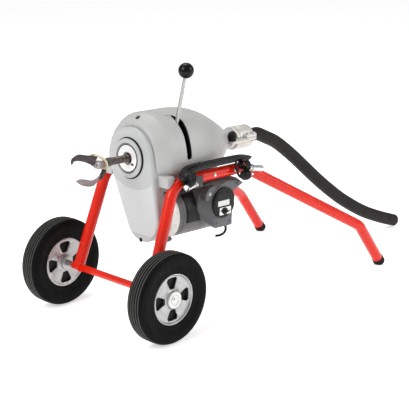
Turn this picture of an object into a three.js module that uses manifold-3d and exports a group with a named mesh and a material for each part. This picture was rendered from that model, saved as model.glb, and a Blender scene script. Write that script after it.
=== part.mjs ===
// Wheeled drain cleaning machine: tube frame on two wheels, tilted power head with a hand clutch, belt drive, motor, guide hose, coiled cable and saw-tooth cutter.
// Millimetres, +Z up, +X towards the guide hose. The pieces are laid out from the point on the floor under the wheel axle; the
// whole machine then moves forwards so that the origin is on the floor under the centre of its footprint.
import * as THREE from "three";
import { mergeVertices } from "three/addons/utils/BufferGeometryUtils.js";
import Module from "manifold-3d";

const wasm = await Module();
wasm.setup();

// ---- driving dimensions ----
const GAP = 0.3;
const WHEEL_R = 127, WHEEL_W = 58, TRACK = 440, RIM_R = 71, AXLE_R = 8;
const TUBE_R = 16, TUBE_WALL = 2.4, CROSS_R = 10;
const LEG_BOTTOM = [2.7, 148.6, 119], LEG_TOP = [114, 134, 404.7], RAIL_REAR = [391, 134, 394], LEG_KNEE = [789.9, 246.5, 148.3], LEG_END = [886, 249.2, 16];
const HEAD_Z = 462.5, HEAD_TILT = (3 * Math.PI) / 180;
const DRUM_R = 122, DRUM_WALL = 6, SEAM_S = 212;
const MOTOR_Y = -58, MOTOR_H = -160, MOTOR_R = 68;
const LOBE_Y = -56, LOBE_H = -164, LOBE_R = 64.5, GUARD_R = 86;
const SPINDLE_R = 22, SPINDLE_BORE = 14, CABLE_R = 11;
const PULLEY_R = 72, MOTOR_PULLEY_R = 30;
const LEVER_S = 189.2, LEVER_OFFSET = 45.6, LEVER_LEAN = (11.94 * Math.PI) / 180, LEVER_REACH = 259.2, BALL_R = 21.8;
const HOSE_R = 20, HOSE_BORE = 14.5;
const FOOTPRINT_CENTRE_X = 551.6;

// ---- helpers ----
const solid = (geo) => {
  const g = (geo.index ? geo.toNonIndexed() : geo.clone());
  const p = new THREE.BufferGeometry().setAttribute("position", g.getAttribute("position"));
  const m = mergeVertices(p, 1e-3);
  const src = m.index.array, t = [];
  for (let i = 0; i < src.length; i += 3)
    if (src[i] !== src[i + 1] && src[i + 1] !== src[i + 2] && src[i] !== src[i + 2]) t.push(src[i], src[i + 1], src[i + 2]);
  const make = (tri) => new wasm.Manifold(new wasm.Mesh({ numProp: 3, vertProperties: new Float32Array(m.attributes.position.array), triVerts: new Uint32Array(tri) }));
  let s = make(t);
  if (s.volume() < 0) {
    for (let i = 0; i < t.length; i += 3) [t[i + 1], t[i + 2]] = [t[i + 2], t[i + 1]];
    s = make(t);
  }
  return s;
};
const geometry = (s) => {
  const m = s.getMesh();
  const g = new THREE.BufferGeometry();
  const n = m.numProp, pos = new Float32Array((m.vertProperties.length / n) * 3);
  for (let i = 0; i < pos.length / 3; i++) for (let k = 0; k < 3; k++) pos[3 * i + k] = m.vertProperties[n * i + k];
  g.setAttribute("position", new THREE.BufferAttribute(pos, 3));
  g.setIndex(new THREE.BufferAttribute(new Uint32Array(m.triVerts), 1));
  g.computeVertexNormals();
  return g;
};
const at = (geo, x, y, z) => geo.translate(x, y, z);
// turned shape about the local X axis: profile points are [radius, position along X]
const turnX = (profile, seg = 28, y = 0, h = 0) => {
  const g = new THREE.LatheGeometry(profile.map(([r, s]) => new THREE.Vector2(r, s)), seg);
  g.rotateZ(-Math.PI / 2);
  return solid(at(g, 0, y, h));
};
const turnY = (profile, seg, x, z, y = 0) => solid(at(new THREE.LatheGeometry(profile.map(([r, s]) => new THREE.Vector2(r, s)), seg), x, y, z));
const turnZ = (profile, seg, x, y, z = 0) => {
  const g = new THREE.LatheGeometry(profile.map(([r, s]) => new THREE.Vector2(r, s)), seg);
  g.rotateX(Math.PI / 2);
  return solid(at(g, x, y, z));
};
const rod = (r, s0, s1, seg = 24, y = 0, h = 0) => turnX([[0, s0], [r, s0], [r, s1], [0, s1]], seg, y, h);
const ring = (r0, r1, s0, s1, seg = 28, y = 0, h = 0) => turnX([[r0, s0], [r1, s0], [r1, s1], [r0, s1], [r0, s0]], seg, y, h);
const poly = (pts, holes = []) => {
  const sh = new THREE.Shape(pts.map(([a, b]) => new THREE.Vector2(a, b)));
  for (const h of holes) sh.holes.push(new THREE.Path(h.map(([a, b]) => new THREE.Vector2(a, b))));
  return sh;
};
// prism along X from a (y, z) outline
const prismX = (pts, s0, s1, holes) => {
  const g = new THREE.ExtrudeGeometry(poly(pts, holes), { depth: s1 - s0, bevelEnabled: false, steps: 1 });
  g.applyMatrix4(new THREE.Matrix4().set(0, 0, 1, s0, 1, 0, 0, 0, 0, 1, 0, 0, 0, 0, 0, 1));
  return solid(g);
};
// prism along Y from an (x, z) outline
const prismY = (pts, y0, y1, holes) => {
  const g = new THREE.ExtrudeGeometry(poly(pts, holes), { depth: y1 - y0, bevelEnabled: false, steps: 1 });
  g.applyMatrix4(new THREE.Matrix4().set(1, 0, 0, 0, 0, 0, -1, y1, 0, 1, 0, 0, 0, 0, 0, 1));
  return solid(g);
};
const box = (x0, x1, y0, y1, z0, z1) => solid(at(new THREE.BoxGeometry(x1 - x0, y1 - y0, z1 - z0), (x0 + x1) / 2, (y0 + y1) / 2, (z0 + z1) / 2));
const arc = (cx, cy, r, a0, a1, n) => Array.from({ length: n + 1 }, (_, i) => {
  const a = ((a0 + ((a1 - a0) * i) / n) * Math.PI) / 180;
  return [cx + r * Math.cos(a), cy + r * Math.sin(a)];
});
// outline round two circles in the (y, z) plane, the first at the origin
const pearOutline = (r1, y2, h2, r2, n = 20) => {
  const d = Math.hypot(y2, h2), base = (Math.atan2(h2, y2) * 180) / Math.PI, b = (Math.acos((r1 - r2) / d) * 180) / Math.PI;
  return [...arc(0, 0, r1, base + b, base + 360 - b, n), ...arc(y2, h2, r2, base - b, base + b, Math.round(n * 0.6))];
};
// a curve that is sampled exactly at its own stations
class Stations extends THREE.Curve {
  constructor(pts) { super(); this.p = pts; }
  getPoint(t) {
    const f = t * (this.p.length - 1), i = Math.min(Math.floor(f + 1e-6), this.p.length - 2);
    return this.p[i].clone().lerp(this.p[i + 1], Math.max(0, Math.min(1, f - i)));
  }
  getPointAt(u) { return this.getPoint(u); }
  getTangent(t) {
    const i = Math.round(t * (this.p.length - 1)), a = this.p[Math.max(0, i - 1)], b = this.p[i], c = this.p[Math.min(this.p.length - 1, i + 1)];
    const u = b.clone().sub(a), v = c.clone().sub(b);
    if (u.lengthSq() < 1e-9) return v.normalize();
    if (v.lengthSq() < 1e-9) return u.normalize();
    return u.normalize().add(v.normalize()).normalize();
  }
  getTangentAt(u) { return this.getTangent(u); }
}
const V = (a) => new THREE.Vector3(...a);
// corner points to stations, each inner corner rounded to the given radius
const rounded = (corners, radii, n = 5) => {
  const c = corners.map(V), out = [c[0]];
  for (let i = 1; i < c.length - 1; i++) {
    const a = c[i - 1].clone().sub(c[i]).normalize(), b = c[i + 1].clone().sub(c[i]).normalize();
    const half = Math.acos(Math.max(-1, Math.min(1, a.dot(b)))) / 2, r = radii[i - 1], cut = r / Math.tan(half);
    const mid = a.clone().add(b).normalize(), centre = c[i].clone().addScaledVector(mid, r / Math.sin(half));
    const p0 = c[i].clone().addScaledVector(a, cut), p1 = c[i].clone().addScaledVector(b, cut);
    const u = p0.clone().sub(centre), v = p1.clone().sub(centre), ang = Math.acos(Math.max(-1, Math.min(1, u.dot(v) / (r * r))));
    for (let k = 0; k <= n; k++) {
      const t = k / n;
      out.push(centre.clone().addScaledVector(u, Math.sin((1 - t) * ang) / Math.sin(ang)).addScaledVector(v, Math.sin(t * ang) / Math.sin(ang)));
    }
  }
  out.push(c[c.length - 1]);
  return out;
};
const smooth = (pts, n) => new THREE.CatmullRomCurve3(pts.map(V), false, "centripetal").getSpacedPoints(n);
const tube = (stations, r, bore = 0, sides = 14) => {
  const c = (q) => Array.from({ length: sides }, (_, i) => [q * Math.cos((2 * Math.PI * i) / sides), q * Math.sin((2 * Math.PI * i) / sides)]);
  const g = new THREE.ExtrudeGeometry(poly(c(r), bore ? [c(bore).reverse()] : []), { steps: stations.length - 1, extrudePath: new Stations(stations), bevelEnabled: false });
  return solid(g);
};
// rod between two points
const between = (a, b, r, seg = 14, r2 = r) => {
  const A = V(a), B = V(b), d = B.clone().sub(A), l = d.length();
  const g = new THREE.CylinderGeometry(r2, r, l, seg);
  g.translate(0, l / 2, 0);
  g.applyQuaternion(new THREE.Quaternion().setFromUnitVectors(new THREE.Vector3(0, 1, 0), d.normalize()));
  g.translate(A.x, A.y, A.z);
  return solid(g);
};

const machine = new THREE.Group();
const head = new THREE.Group();
head.position.set(0, 0, HEAD_Z);
head.rotation.y = HEAD_TILT;
machine.add(head);
head.updateMatrixWorld(true);
const intoHead = (s) => s.transform(head.matrixWorld.clone().invert().toArray());
const toWorld = (s) => s.transform(head.matrixWorld.toArray());

const RED = [0xd9301c, 0.32, 0.1], GREY = [0xb9b6b1, 0.5, 0.1], DARK = [0x4b4c4d, 0.5, 0.2], BLACK = [0x171717, 0.55, 0.0], STEEL = [0xb8b8b6, 0.3, 0.9], ALU = [0xc9c8c4, 0.4, 0.8], RUBBER = [0x1d1c1c, 0.8, 0.0], ZINC = [0xdadbd8, 0.25, 0.9], CAST = [0x6a6a6a, 0.6, 0.6];
const add = (group, name, s, look) => {
  const m = new THREE.Mesh(geometry(s), new THREE.MeshStandardMaterial({ color: look[0], roughness: look[1], metalness: look[2] }));
  m.name = name;
  group.add(m);
  return s;
};

// ================= frame =================
const sidePath = (sy) => {
  const f = ([x, y, z]) => [x, sy * y, z];
  return rounded([f(LEG_BOTTOM), f(LEG_TOP), f(RAIL_REAR), f(LEG_KNEE), f(LEG_END)], [62, 55, 60], 3);
};
const crossTube = turnY([[8.6, -167], [CROSS_R, -167], [CROSS_R, 167], [8.6, 167], [8.6, -167]], 18, 0, 127);
const crossHole = turnY([[0, -200], [CROSS_R + 0.4, -200], [CROSS_R + 0.4, 200], [0, 200]], 18, 0, 127);
const sideOuter = {};
for (const [side, sy] of [["left", 1], ["right", -1]]) {
  const path = sidePath(sy);
  sideOuter[side] = tube(path, TUBE_R + GAP, 0, 12);
  add(machine, "side_tube_" + side, tube(path, TUBE_R, TUBE_R - TUBE_WALL, 12).subtract(crossHole), RED);
}
add(machine, "cross_tube", crossTube, RED);
add(machine, "axle", turnY([[0, -249], [AXLE_R, -249], [AXLE_R, 249], [0, 249]], 24, 0, 127), ZINC);

for (const [side, sy] of [["left", 1], ["right", -1]]) {
  const knee = V([LEG_KNEE[0], sy * LEG_KNEE[1], LEG_KNEE[2]]), end = V([LEG_END[0], sy * LEG_END[1], LEG_END[2]]);
  const d = end.clone().sub(knee).normalize(), p = (t) => end.clone().addScaledVector(d, t).toArray();
  const foot = between(p(-7), p(11), 18, 24).add(between(p(10.9), p(15), 18, 24, 15)).subtract(between(p(-40), p(0.4), TUBE_R + GAP, 24)).subtract(box(700, 1100, -400, 400, -60, 0));
  add(machine, "rubber_foot_" + side, foot, RUBBER);
}

// ================= wheels =================
for (const [side, sy] of [["left", 1], ["right", -1]]) {
  const flip = (pr) => pr.map(([r, y]) => [r, sy * y]);
  const tyre = turnY(flip([[RIM_R + GAP, -22], [92, -25.5], [113, -WHEEL_W / 2], [122, -26.5], [WHEEL_R, -17], [WHEEL_R, 17], [122, 26.5], [113, WHEEL_W / 2], [92, 25.5], [RIM_R + GAP, 22], [RIM_R + GAP, -22]]), 28, 0, 127, (sy * TRACK) / 2);
  add(machine, "tyre_" + side, tyre, RUBBER);
  let rim = turnY(flip([[RIM_R, -22], [RIM_R, 25], [67.5, 25], [64.5, 19.5], [45, 17.5], [26, 21], [24, 28.5], [8.4, 28.5], [8.4, -29], [19, -29], [20, 13], [45, 13.5], [66, 16.5], [66.5, -22], [RIM_R, -22]]), 28, 0, 127, (sy * TRACK) / 2);
  for (let k = 0; k < 4; k++) {
    const window = prismY([[28.5, -8.5], [54, -20], [60.5, -16], [61.8, 0], [60.5, 16], [54, 20], [28.5, 8.5]], (sy * TRACK) / 2 + (sy > 0 ? 5 : -28), (sy * TRACK) / 2 + (sy > 0 ? 28 : -5));
    rim = rim.subtract(window.rotate([0, 90 * k, 0]).translate([0, 0, 127]));
  }
  add(machine, "rim_" + side, rim, ALU);
  const cy = (sy * TRACK) / 2;
  add(machine, "axle_cap_" + side, turnY([[0, cy + sy * 29.4], [13, cy + sy * 28.9], [13, cy + sy * 31], [9, cy + sy * 34], [0, cy + sy * 34], [0, cy + sy * 29.4]].map(([r, y], i) => (i === 0 || i === 5 ? [0, cy + sy * 29.3] : i === 1 ? [13, cy + sy * 29.3] : [r, y])), 20, 0, 127), ZINC);
}

// ================= power head =================
const motorCyl = (r, s0, s1, seg = 26) => rod(r, s0, s1, seg, MOTOR_Y, MOTOR_H);
const guardOuter = (grow, s0, s1) => prismX(pearOutline(GUARD_R + grow, LOBE_Y, LOBE_H, LOBE_R + grow), s0, s1);

// belt guard: pear shaped shell, open at the back, with a raised collar round the cable outlet
let guard = guardOuter(-3, 74, 77.2).add(guardOuter(0, 77, 106.4)).add(rod(55.5, 66, 75, 36));
guard = guard.subtract(guardOuter(-3.2, 77, 110)).subtract(rod(40.2, 60, 80, 32));
add(head, "belt_guard", guard, GREY);

// drum, front half
const motorRoom = motorCyl(75, 100, 470), motorWall = motorCyl(81, 107.2, 470);
let front = turnX([[0, 89.5], [96.5, 89.5], [100, 92], [110, 104], [119, 118], [121.5, 123], [DRUM_R, 130], [DRUM_R, SEAM_S - 0.15], [0, SEAM_S - 0.15]], 28);
const frontVoid = turnX([[0, 113.5], [111, 113.5], [116, 124], [116, 230], [0, 230]], 28).subtract(motorWall).subtract(rod(46, 100, 126, 28));
front = front.subtract(frontVoid).subtract(motorRoom).subtract(turnX([[0, 80], [87, 80], [87, 98], [90, 106.8], [0, 106.8]], 28)).subtract(guardOuter(0.5, 60, 106.8)).subtract(rod(38.4, 100, 130, 28));
// curved slot for the lever, its top end drifting rearwards
const radial = (deg, s, r0, r1, q, seg = 14) => {
  const a = (deg * Math.PI) / 180, u = [0, -Math.sin(a), Math.cos(a)];
  return between([s, u[1] * r0, u[2] * r0], [s, u[1] * r1, u[2] * r1], q, seg);
};
// (angle from the top, front edge, rear edge): the slot widens and drifts rearwards towards its upper end
const slotEdges = [[86, 179.6, 196.8], [80, 179.3, 196.7], [74, 179.6, 197.2], [68, 180.3, 198.1], [62, 181.5, 199.7], [56, 182.5, 201.5], [50, 183, 203.4], [44, 183.2, 205.2], [38, 183.2, 206], [33, 183.2, 204.8], [30, 183.3, 202.6]];
const onDrum = (deg, s) => V([s, -118 * Math.sin((deg * Math.PI) / 180), 118 * Math.cos((deg * Math.PI) / 180)]);
const square = poly([[-8.7, -8.7], [8.7, -8.7], [8.7, 8.7], [-8.7, 8.7]]);
const track = (f) => solid(new THREE.ExtrudeGeometry(square, { steps: slotEdges.length - 1, extrudePath: new Stations(slotEdges.map(f)), bevelEnabled: false }));
let slot = track(([a, f]) => onDrum(a, f + 8.7)).add(track(([a, , r]) => onDrum(a, r - 8.7)));
slot = slot.add(radial(86, 188.2, 104, 132, 8.6)).add(radial(28.5, 191, 104, 132, 7.6, 12)).add(radial(26.5, 189.4, 104, 132, 6.2, 12)).add(radial(24.8, 188.2, 104, 132, 4.8, 12));
front = front.subtract(slot);
add(head, "drum_front", front, GREY);

// drum, rear half with the domed end
let rear = turnX([[0, SEAM_S + 0.15], [DRUM_R, SEAM_S + 0.15], [121, 240], [116, 280], [104, 320], [85, 360], [62, 400], [50, 418], [44, 424], [0, 424]], 28);
const rearVoid = turnX([[0, 200], [116, 200], [115, 240], [110, 278], [98, 316], [79, 354], [58, 389], [0, 389]], 28).subtract(motorWall).subtract(rod(46, 376, 430, 28));
rear = rear.subtract(rearVoid).subtract(motorRoom).subtract(rod(38.4, 370, 400.2, 28)).subtract(rod(30.9, 390, 430, 28));
add(head, "drum_rear", rear, GREY);
add(head, "rear_nozzle", ring(17, 30.5, 404, 518, 28), GREY);

// spindle, hub plate, bearings, pulleys and belt
let spindle = ring(SPINDLE_BORE, SPINDLE_R, 75.3, 400, 28);
const jawAngles = [90, 210, 330];
const wedge = (a, half, r0, r1, s0, s1) => prismX([...arc(0, 0, r0, a - half, a + half, 3), ...arc(0, 0, r1, a + half, a - half, 3)], s0, s1);
for (const a of jawAngles) spindle = spindle.subtract(wedge(a, 21, 8, 30, 128, 152));
add(head, "spindle_tube", spindle, STEEL);
add(head, "front_hub_plate", ring(17.5, 39, 67, 75, 32).subtract(box(60, 80, -25, -15, -17, -11)), ZINC);
jawAngles.forEach((a, i) => add(head, "clutch_jaw_" + (i + 1), wedge(a, 17, 13.4, 21, 130, 150), CAST));
add(head, "front_bearing", ring(SPINDLE_R + GAP, 38.1, 108, 125, 28), STEEL);
add(head, "rear_bearing", ring(SPINDLE_R + GAP, 38.1, 384, 399, 28), STEEL);
add(head, "drive_pulley", turnX([[SPINDLE_R + GAP, 80], [77, 80], [77, 85], [PULLEY_R, 85.7], [PULLEY_R, 96.3], [77, 97], [77, 102], [SPINDLE_R + GAP, 102], [SPINDLE_R + GAP, 80]], 24), CAST);
add(head, "motor_pulley", turnX([[8.3, 80], [35, 80], [35, 85], [MOTOR_PULLEY_R, 85.7], [MOTOR_PULLEY_R, 96.3], [35, 97], [35, 102], [8.3, 102], [8.3, 80]], 18, MOTOR_Y, MOTOR_H), CAST);
add(head, "drive_belt", prismX(pearOutline(PULLEY_R + 4.3, MOTOR_Y, MOTOR_H, MOTOR_PULLEY_R + 4.3, 20), 86.4, 95.6, [pearOutline(PULLEY_R + 0.8, MOTOR_Y, MOTOR_H, MOTOR_PULLEY_R + 0.8, 20).reverse()]), RUBBER);

// clutch: cam ring on the lever, thrust ring in front of it
const lean = [0, -Math.sin(LEVER_LEAN), Math.cos(LEVER_LEAN)], footPoint = [LEVER_S, -LEVER_OFFSET * Math.cos(LEVER_LEAN), -LEVER_OFFSET * Math.sin(LEVER_LEAN)];
const along = (t) => footPoint.map((c, i) => c + lean[i] * t);
add(head, "cam_ring", ring(24, 58, 177, 199, 32).subtract(between(along(-8.5), along(80), 6.5, 16)), CAST);
add(head, "lever_rod", between(along(-8), along(120), 6, 14, 5.6).add(between(along(119.9), along(244), 5.6, 14, 4.6)), ZINC);
const ballAt = along(LEVER_REACH);
add(head, "lever_ball", solid(at(new THREE.SphereGeometry(BALL_R, 16, 10), ...ballAt)).subtract(between(along(LEVER_REACH - 30), along(244.6), 5.1, 16)), BLACK);
add(head, "thrust_ring", ring(24, 50, 161, 173, 28), STEEL);

// brackets between the drum and the side rails
const drumGuard = turnX([[0, 80], [97.2, 80], [97.2, 89], [100.7, 91.6], [110.6, 103.6], [119.6, 117.6], [122.2, 123], [122.7, 130], [122.7, 212], [121.7, 241], [116.6, 281], [104.6, 321], [85.6, 361], [62.6, 401], [0, 401]], 32);
const lugs = [["front_left", 1, 92, 118, -66, -34, 90], ["front_right", -1, 92, 118, -66, -34, 90], ["rear_left", 1, 214, 244, -70, -44, 96], ["rear_right", -1, 214, 244, -70, -44, 96]];
for (const [n, sy, s0, s1, h0, h1, y0] of lugs) {
  const side = sy > 0 ? "left" : "right";
  let lug = sy > 0 ? box(s0, s1, y0, 136, h0, h1) : box(s0, s1, -136, -y0, h0, h1);
  lug = lug.subtract(drumGuard).subtract(intoHead(sideOuter[side])).subtract(guardOuter(0.6, 60, 107));
  const parts = lug.decompose().sort((a, b) => b.volume() - a.volume());
  add(head, "bracket_" + n, parts[0], CAST);
}

// ================= motor =================
const mX = (pr, seg = 24) => turnX(pr, seg, MOTOR_Y, MOTOR_H);
add(head, "motor_front_bell", mX([[8.3, 112], [62, 112], [68, 115], [70.5, 120], [70.5, 150], [64.5, 150], [64.5, 118], [16, 118], [16, 130], [8.3, 130], [8.3, 112]]), ALU);
add(head, "motor_shell", mX([[64.2, 150.3], [MOTOR_R, 150.3], [MOTOR_R, 262], [64.2, 262], [64.2, 150.3]]), DARK);
add(head, "motor_rear_bell", mX([[64.2, 262.3], [MOTOR_R, 262.3], [67, 330], [60, 344], [30, 350], [8.3, 350], [8.3, 334], [16, 334], [16, 344], [28, 344], [56, 338], [61, 328], [62, 262.3], [64.2, 262.3]].map((p, i, a) => (i === 0 || i === a.length - 1 ? [62, 262.3] : p)).filter((p, i) => i !== 12)), DARK);
add(head, "motor_stator", mX([[40, 160], [63.8, 160], [63.8, 240], [40, 240], [40, 160]]), CAST);
add(head, "motor_rotor", mX([[0, 79], [8, 79], [8, 162], [38, 162], [38, 238], [8, 238], [8, 347], [0, 347]], 24), STEEL);
// black plate on the operator's side of the shell
const sideArc = (r, a0, a1, n) => arc(MOTOR_Y, MOTOR_H, r, a0, a1, n);
add(head, "motor_side_plate", prismX([...sideArc(MOTOR_R + GAP, 124, 196, 8), ...sideArc(MOTOR_R + 3.2, 196, 124, 8)], 180, 240), BLACK);
// hanger strap from the drum to the front bell
add(head, "motor_hanger", prismX([...sideArc(70.9, -125, 0, 12), [MOTOR_Y + 70.9, -124.6], [MOTOR_Y + 75, -124.6], ...sideArc(75, 0, -125, 12)], 124, 140), DARK);

// switch housing with its round cover, switch plate and knob
const DISC_S = 291.5, DISC_H = -131;
const faceOutline = [[266, -203], [256, -195], [252, -172], [248, -150], [249, -128], [255, -108], [267, -90], [286, -77], [310, -71], [338, -72], [362, -79], [376, -88], [376, -203]];
const baseOutline = [[264, -199], [238, -185], [224, -168], [217, -148], [216.5, -128], [221, -109], [231, -91], [247, -77], [267, -69.5], [292, -67.5], [322, -67.4], [350, -69.5], [372, -76], [386, -86], [386, -199]];
const inward = (pts, g) => pts.map(([s, h]) => { const d = Math.hypot(s - 312, h + 140); return [312 + ((s - 312) * (d - g)) / d, -140 + ((h + 140) * (d - g)) / d]; });
const corner = (g) => prismY([[331 - g, -105], [331 - g, -260], [420, -260], [420, -72], [400, -76 + g], [340, -100 + g]], -200, -40);
let housing = prismY(faceOutline, -155, -154).add(prismY(baseOutline, -128, -76)).hull().subtract(corner(0));
housing = housing.subtract(prismY(inward(faceOutline, 5), -151, -150).add(prismY(inward(baseOutline, 5), -127, -60)).hull().subtract(corner(4.5)));
housing = housing.subtract(motorCyl(MOTOR_R + 3.8, 100, 400)).subtract(drumGuard).subtract(intoHead(sideOuter.right));
housing = housing.decompose().sort((a, b) => b.volume() - a.volume())[0];
add(head, "switch_housing", housing, DARK);
add(head, "switch_cover", turnY([[0, -155.3], [44, -155.3], [44, -160], [41, -163], [0, -163]], 32, DISC_S, DISC_H).subtract(box(330.8, 345, -170, -150, -200, -60)), BLACK);
const KNOB_S = 289.5, KNOB_H = -153.5;
add(head, "switch_plate", box(KNOB_S - 20, KNOB_S + 26, -165, -163.3, KNOB_H - 11, KNOB_H + 11), ZINC);
add(head, "switch_knob", turnY([[0, -165.3], [8.5, -165.3], [8.5, -168.5], [6.5, -169.5], [0, -169.5]], 20, KNOB_S, KNOB_H).add(box(KNOB_S - 8, KNOB_S + 8, -176, -169, KNOB_H - 2.6, KNOB_H + 2.6)), BLACK);
add(head, "cord_loop", tube(smooth([[319, -140, -204], [323, -140, -218], [318, -138, -229], [305, -133, -235], [295, -127, -236]], 11), 3.6, 0, 7).subtract(box(200, 400, -200, 0, -203.3, -100)), BLACK);

// ================= cord storage =================
add(head, "cord_horn_front", between([168, -166, -56], [125, -174, -60], 9.3, 14).add(between([160, -168, -57], [160, -140, -50], 6.5, 12)).subtract(intoHead(sideOuter.right)).decompose().sort((a, b) => b.volume() - a.volume())[0], ZINC);
add(head, "cord_horn_rear", between([378, -169, -41], [434, -169, -52], 9.3, 14).add(between([384, -168, -43], [384, -140, -45], 6.5, 12)).subtract(intoHead(sideOuter.right)).decompose().sort((a, b) => b.volume() - a.volume())[0], ZINC);
add(head, "power_cord", tube(smooth([[120, -163, -38], [126, -163, -32], [142, -161, -26], [175, -156, -21], [230, -153.3, -18], [300, -153.3, -17], [350, -154, -16], [378, -155, -16], [394, -153, -19], [400, -143.5, -21], [392, -134.5, -19], [375, -133.7, -17], [330, -133.6, -16], [260, -133.6, -16], [180, -133.6, -16]], 30), 9.2, 0, 7), BLACK);
add(head, "cord_plug", turnX([[0, 338], [7, 338], [9, 346], [14, 352], [14, 372], [11, 376], [0, 376]], 16, -173, -60), BLACK);

// ================= rear clamp and guide hose =================
const SPLIT = 6;
let clamp = turnX([[0, 478], [33, 478], [35, 481], [35, 545], [33, 548], [0, 548]], 28).add(box(500, 548, -46, 46, SPLIT - 9, SPLIT + 9));
clamp = clamp.subtract(rod(30.8, 470, 519, 28)).subtract(rod(HOSE_R + GAP, 510, 580, 24));
const clampArm = box(430, 500, -56, -35.5, -3, SPLIT - 0.6).add(turnZ([[0, -3], [10, -3], [10, SPLIT - 0.6], [0, SPLIT - 0.6]], 18, 438, -46)).subtract(box(420, 438, -70, -30, -5, 8).subtract(turnZ([[0, -6], [10, -6], [10, 9], [0, 9]], 18, 438, -46))).subtract(rod(30.8, 420, 519, 28));
const boltXY = [[510, -39.5], [536, -39.5]];
const boltHole = (x, y) => turnZ([[0, -30], [4.3, -30], [4.3, 30], [0, 30]], 14, x, y);
let upper = clamp.subtract(box(400, 700, -80, 80, -80, SPLIT + 0.5)), lower = clamp.subtract(box(400, 700, -80, 80, SPLIT - 0.5, 80)).add(clampArm);
for (const [x, y] of boltXY) { upper = upper.subtract(boltHole(x, y)); lower = lower.subtract(boltHole(x, y)); }
lower = lower.subtract(boltHole(438, -46)).subtract(rod(HOSE_R + GAP, 510, 580, 24));
add(head, "clamp_upper", upper, ALU);
add(head, "clamp_lower", lower, ALU);
boltXY.forEach(([x, y], i) => add(head, "clamp_bolt_" + (i + 1), turnZ([[0, -8], [3, -8], [4, -7], [4, SPLIT + 9.3], [6.5, SPLIT + 9.3], [6.5, SPLIT + 14], [0, SPLIT + 14]], 12, x, y), ZINC));
add(head, "clamp_knob", turnZ([[0, -8], [4, -8], [4, SPLIT], [11, SPLIT], [13, SPLIT + 3], [13, SPLIT + 15], [11.5, SPLIT + 22], [7.5, SPLIT + 27.5], [0, SPLIT + 30]], 20, 438, -46), BLACK);

const hoseHead = (s) => V([s, 0, 0]).applyMatrix4(head.matrixWorld).toArray();
const hoseLine = [hoseHead(584), hoseHead(596), [637, -0.9, 412.1], [677, -2.3, 390.9], [742, -5.8, 342.1], [804, -11.7, 287.4], [859, -18.7, 237.6], [914, -25.1, 191.7], [974, -31.5, 146.6], [1070, -42, 87.5], [1152, -49, 50.3], [1228.8, -52.5, 20.8]];
add(machine, "guide_hose", tube([V(hoseHead(521)), V(hoseHead(556)), ...smooth(hoseLine, 17)], HOSE_R, HOSE_BORE, 10), RUBBER);

// ================= cable and cutter =================
add(head, "cable", rod(CABLE_R, 6.3, 470, 16), CAST);
add(head, "cable_coupling", turnX([[0, -8.7], [10, -8.7], [12.3, -6], [12.3, 2], [11.5, 6], [0, 6]], 20), STEEL);
const upperArm = prismY([[-133.2, 11], [-123.3, 18], [-103.4, 16], [-85.9, 10.5], [-68.2, 2], [-58, -4], [-49, 9], [-42, 20], [-59.5, 27], [-73.5, 28.2], [-91.1, 32.2], [-106, 35.3], [-118.4, 33.2], [-131.4, 25.9]], -2, 2);
const lowerArm = prismY([[-116.8, -36.6], [-90.4, -53.5], [-71.5, -57.6], [-57.5, -57.8], [-46.1, -51.7], [-30, -42], [-32, -33], [-42.4, -39.4], [-58.9, -42.8], [-78, -38.8], [-103.1, -33.8]], -2, 2);
const strap = prismY([[-60, 31], [-34, 21], [-17.5, 9.5], [-9.4, -4.7], [-13, -20], [-22, -34], [-33, -44], [-36, -40], [-26, -31], [-18, -19], [-14.6, -5.2], [-21.5, 6], [-37, 16.5], [-58, 26]], -12, 12);
const spade = prismY([[-16, -12], [-16, 4], [-40, 12], [-54, 6], [-56, -6], [-50, -14], [-36, -17]], -2, 2);
const bolt = turnY([[0, -30], [5.3, -30], [5.3, 30], [0, 30]], 14, -42.7, -4.7);
add(head, "cutter_blade", upperArm.add(lowerArm).add(strap).add(spade).subtract(bolt), STEEL);
add(head, "cutter_bolt", turnY([[0, -8.5], [8, -8.5], [8, -2.3], [5, -2.3], [5, 9], [0, 9]], 6, -42.7, -4.7), ZINC);

// origin: on the floor under the centre of the whole machine's footprint
machine.position.x = -FOOTPRINT_CENTRE_X;
machine.updateMatrixWorld(true);

export default machine;
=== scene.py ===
import bpy
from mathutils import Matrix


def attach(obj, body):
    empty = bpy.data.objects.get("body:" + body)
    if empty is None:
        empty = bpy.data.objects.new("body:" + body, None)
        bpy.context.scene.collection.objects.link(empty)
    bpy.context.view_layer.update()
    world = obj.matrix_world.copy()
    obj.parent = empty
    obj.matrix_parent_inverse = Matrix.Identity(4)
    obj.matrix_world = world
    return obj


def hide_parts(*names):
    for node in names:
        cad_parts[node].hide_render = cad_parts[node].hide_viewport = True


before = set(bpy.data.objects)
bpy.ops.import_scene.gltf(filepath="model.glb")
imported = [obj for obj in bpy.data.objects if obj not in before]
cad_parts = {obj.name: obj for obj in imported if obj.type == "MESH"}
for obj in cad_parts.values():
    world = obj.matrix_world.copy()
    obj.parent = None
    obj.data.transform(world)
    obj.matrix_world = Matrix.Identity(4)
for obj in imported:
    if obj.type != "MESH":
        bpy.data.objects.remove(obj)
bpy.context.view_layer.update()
import bpy, bmesh, math, random
from mathutils import Vector, Matrix, Quaternion

MM = 0.001
TILT = math.radians(3.0)
WORLD = Matrix.Translation((-0.5516, 0, 0))            # pieces are laid out from the floor point under the wheel axle
HEAD = WORLD @ Matrix.Translation((0, 0, 0.4625)) @ Matrix.Rotation(TILT, 4, "Y")
LINK = bpy.context.scene.collection.objects.link
REPLACED = set()
LEG = [[2.7, 148.6, 119], [114, 134, 404.7], [391, 134, 394], [789.9, 246.5, 148.3], [886, 249.2, 16]]   # side tube centre line

# ------------------------------------------------------------------ materials
def srgb(r, g, b):
    f = lambda c: (c / 255 / 12.92) if c / 255 <= 0.04045 else ((c / 255 + 0.055) / 1.055) ** 2.4
    return (f(r), f(g), f(b), 1.0)

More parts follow.
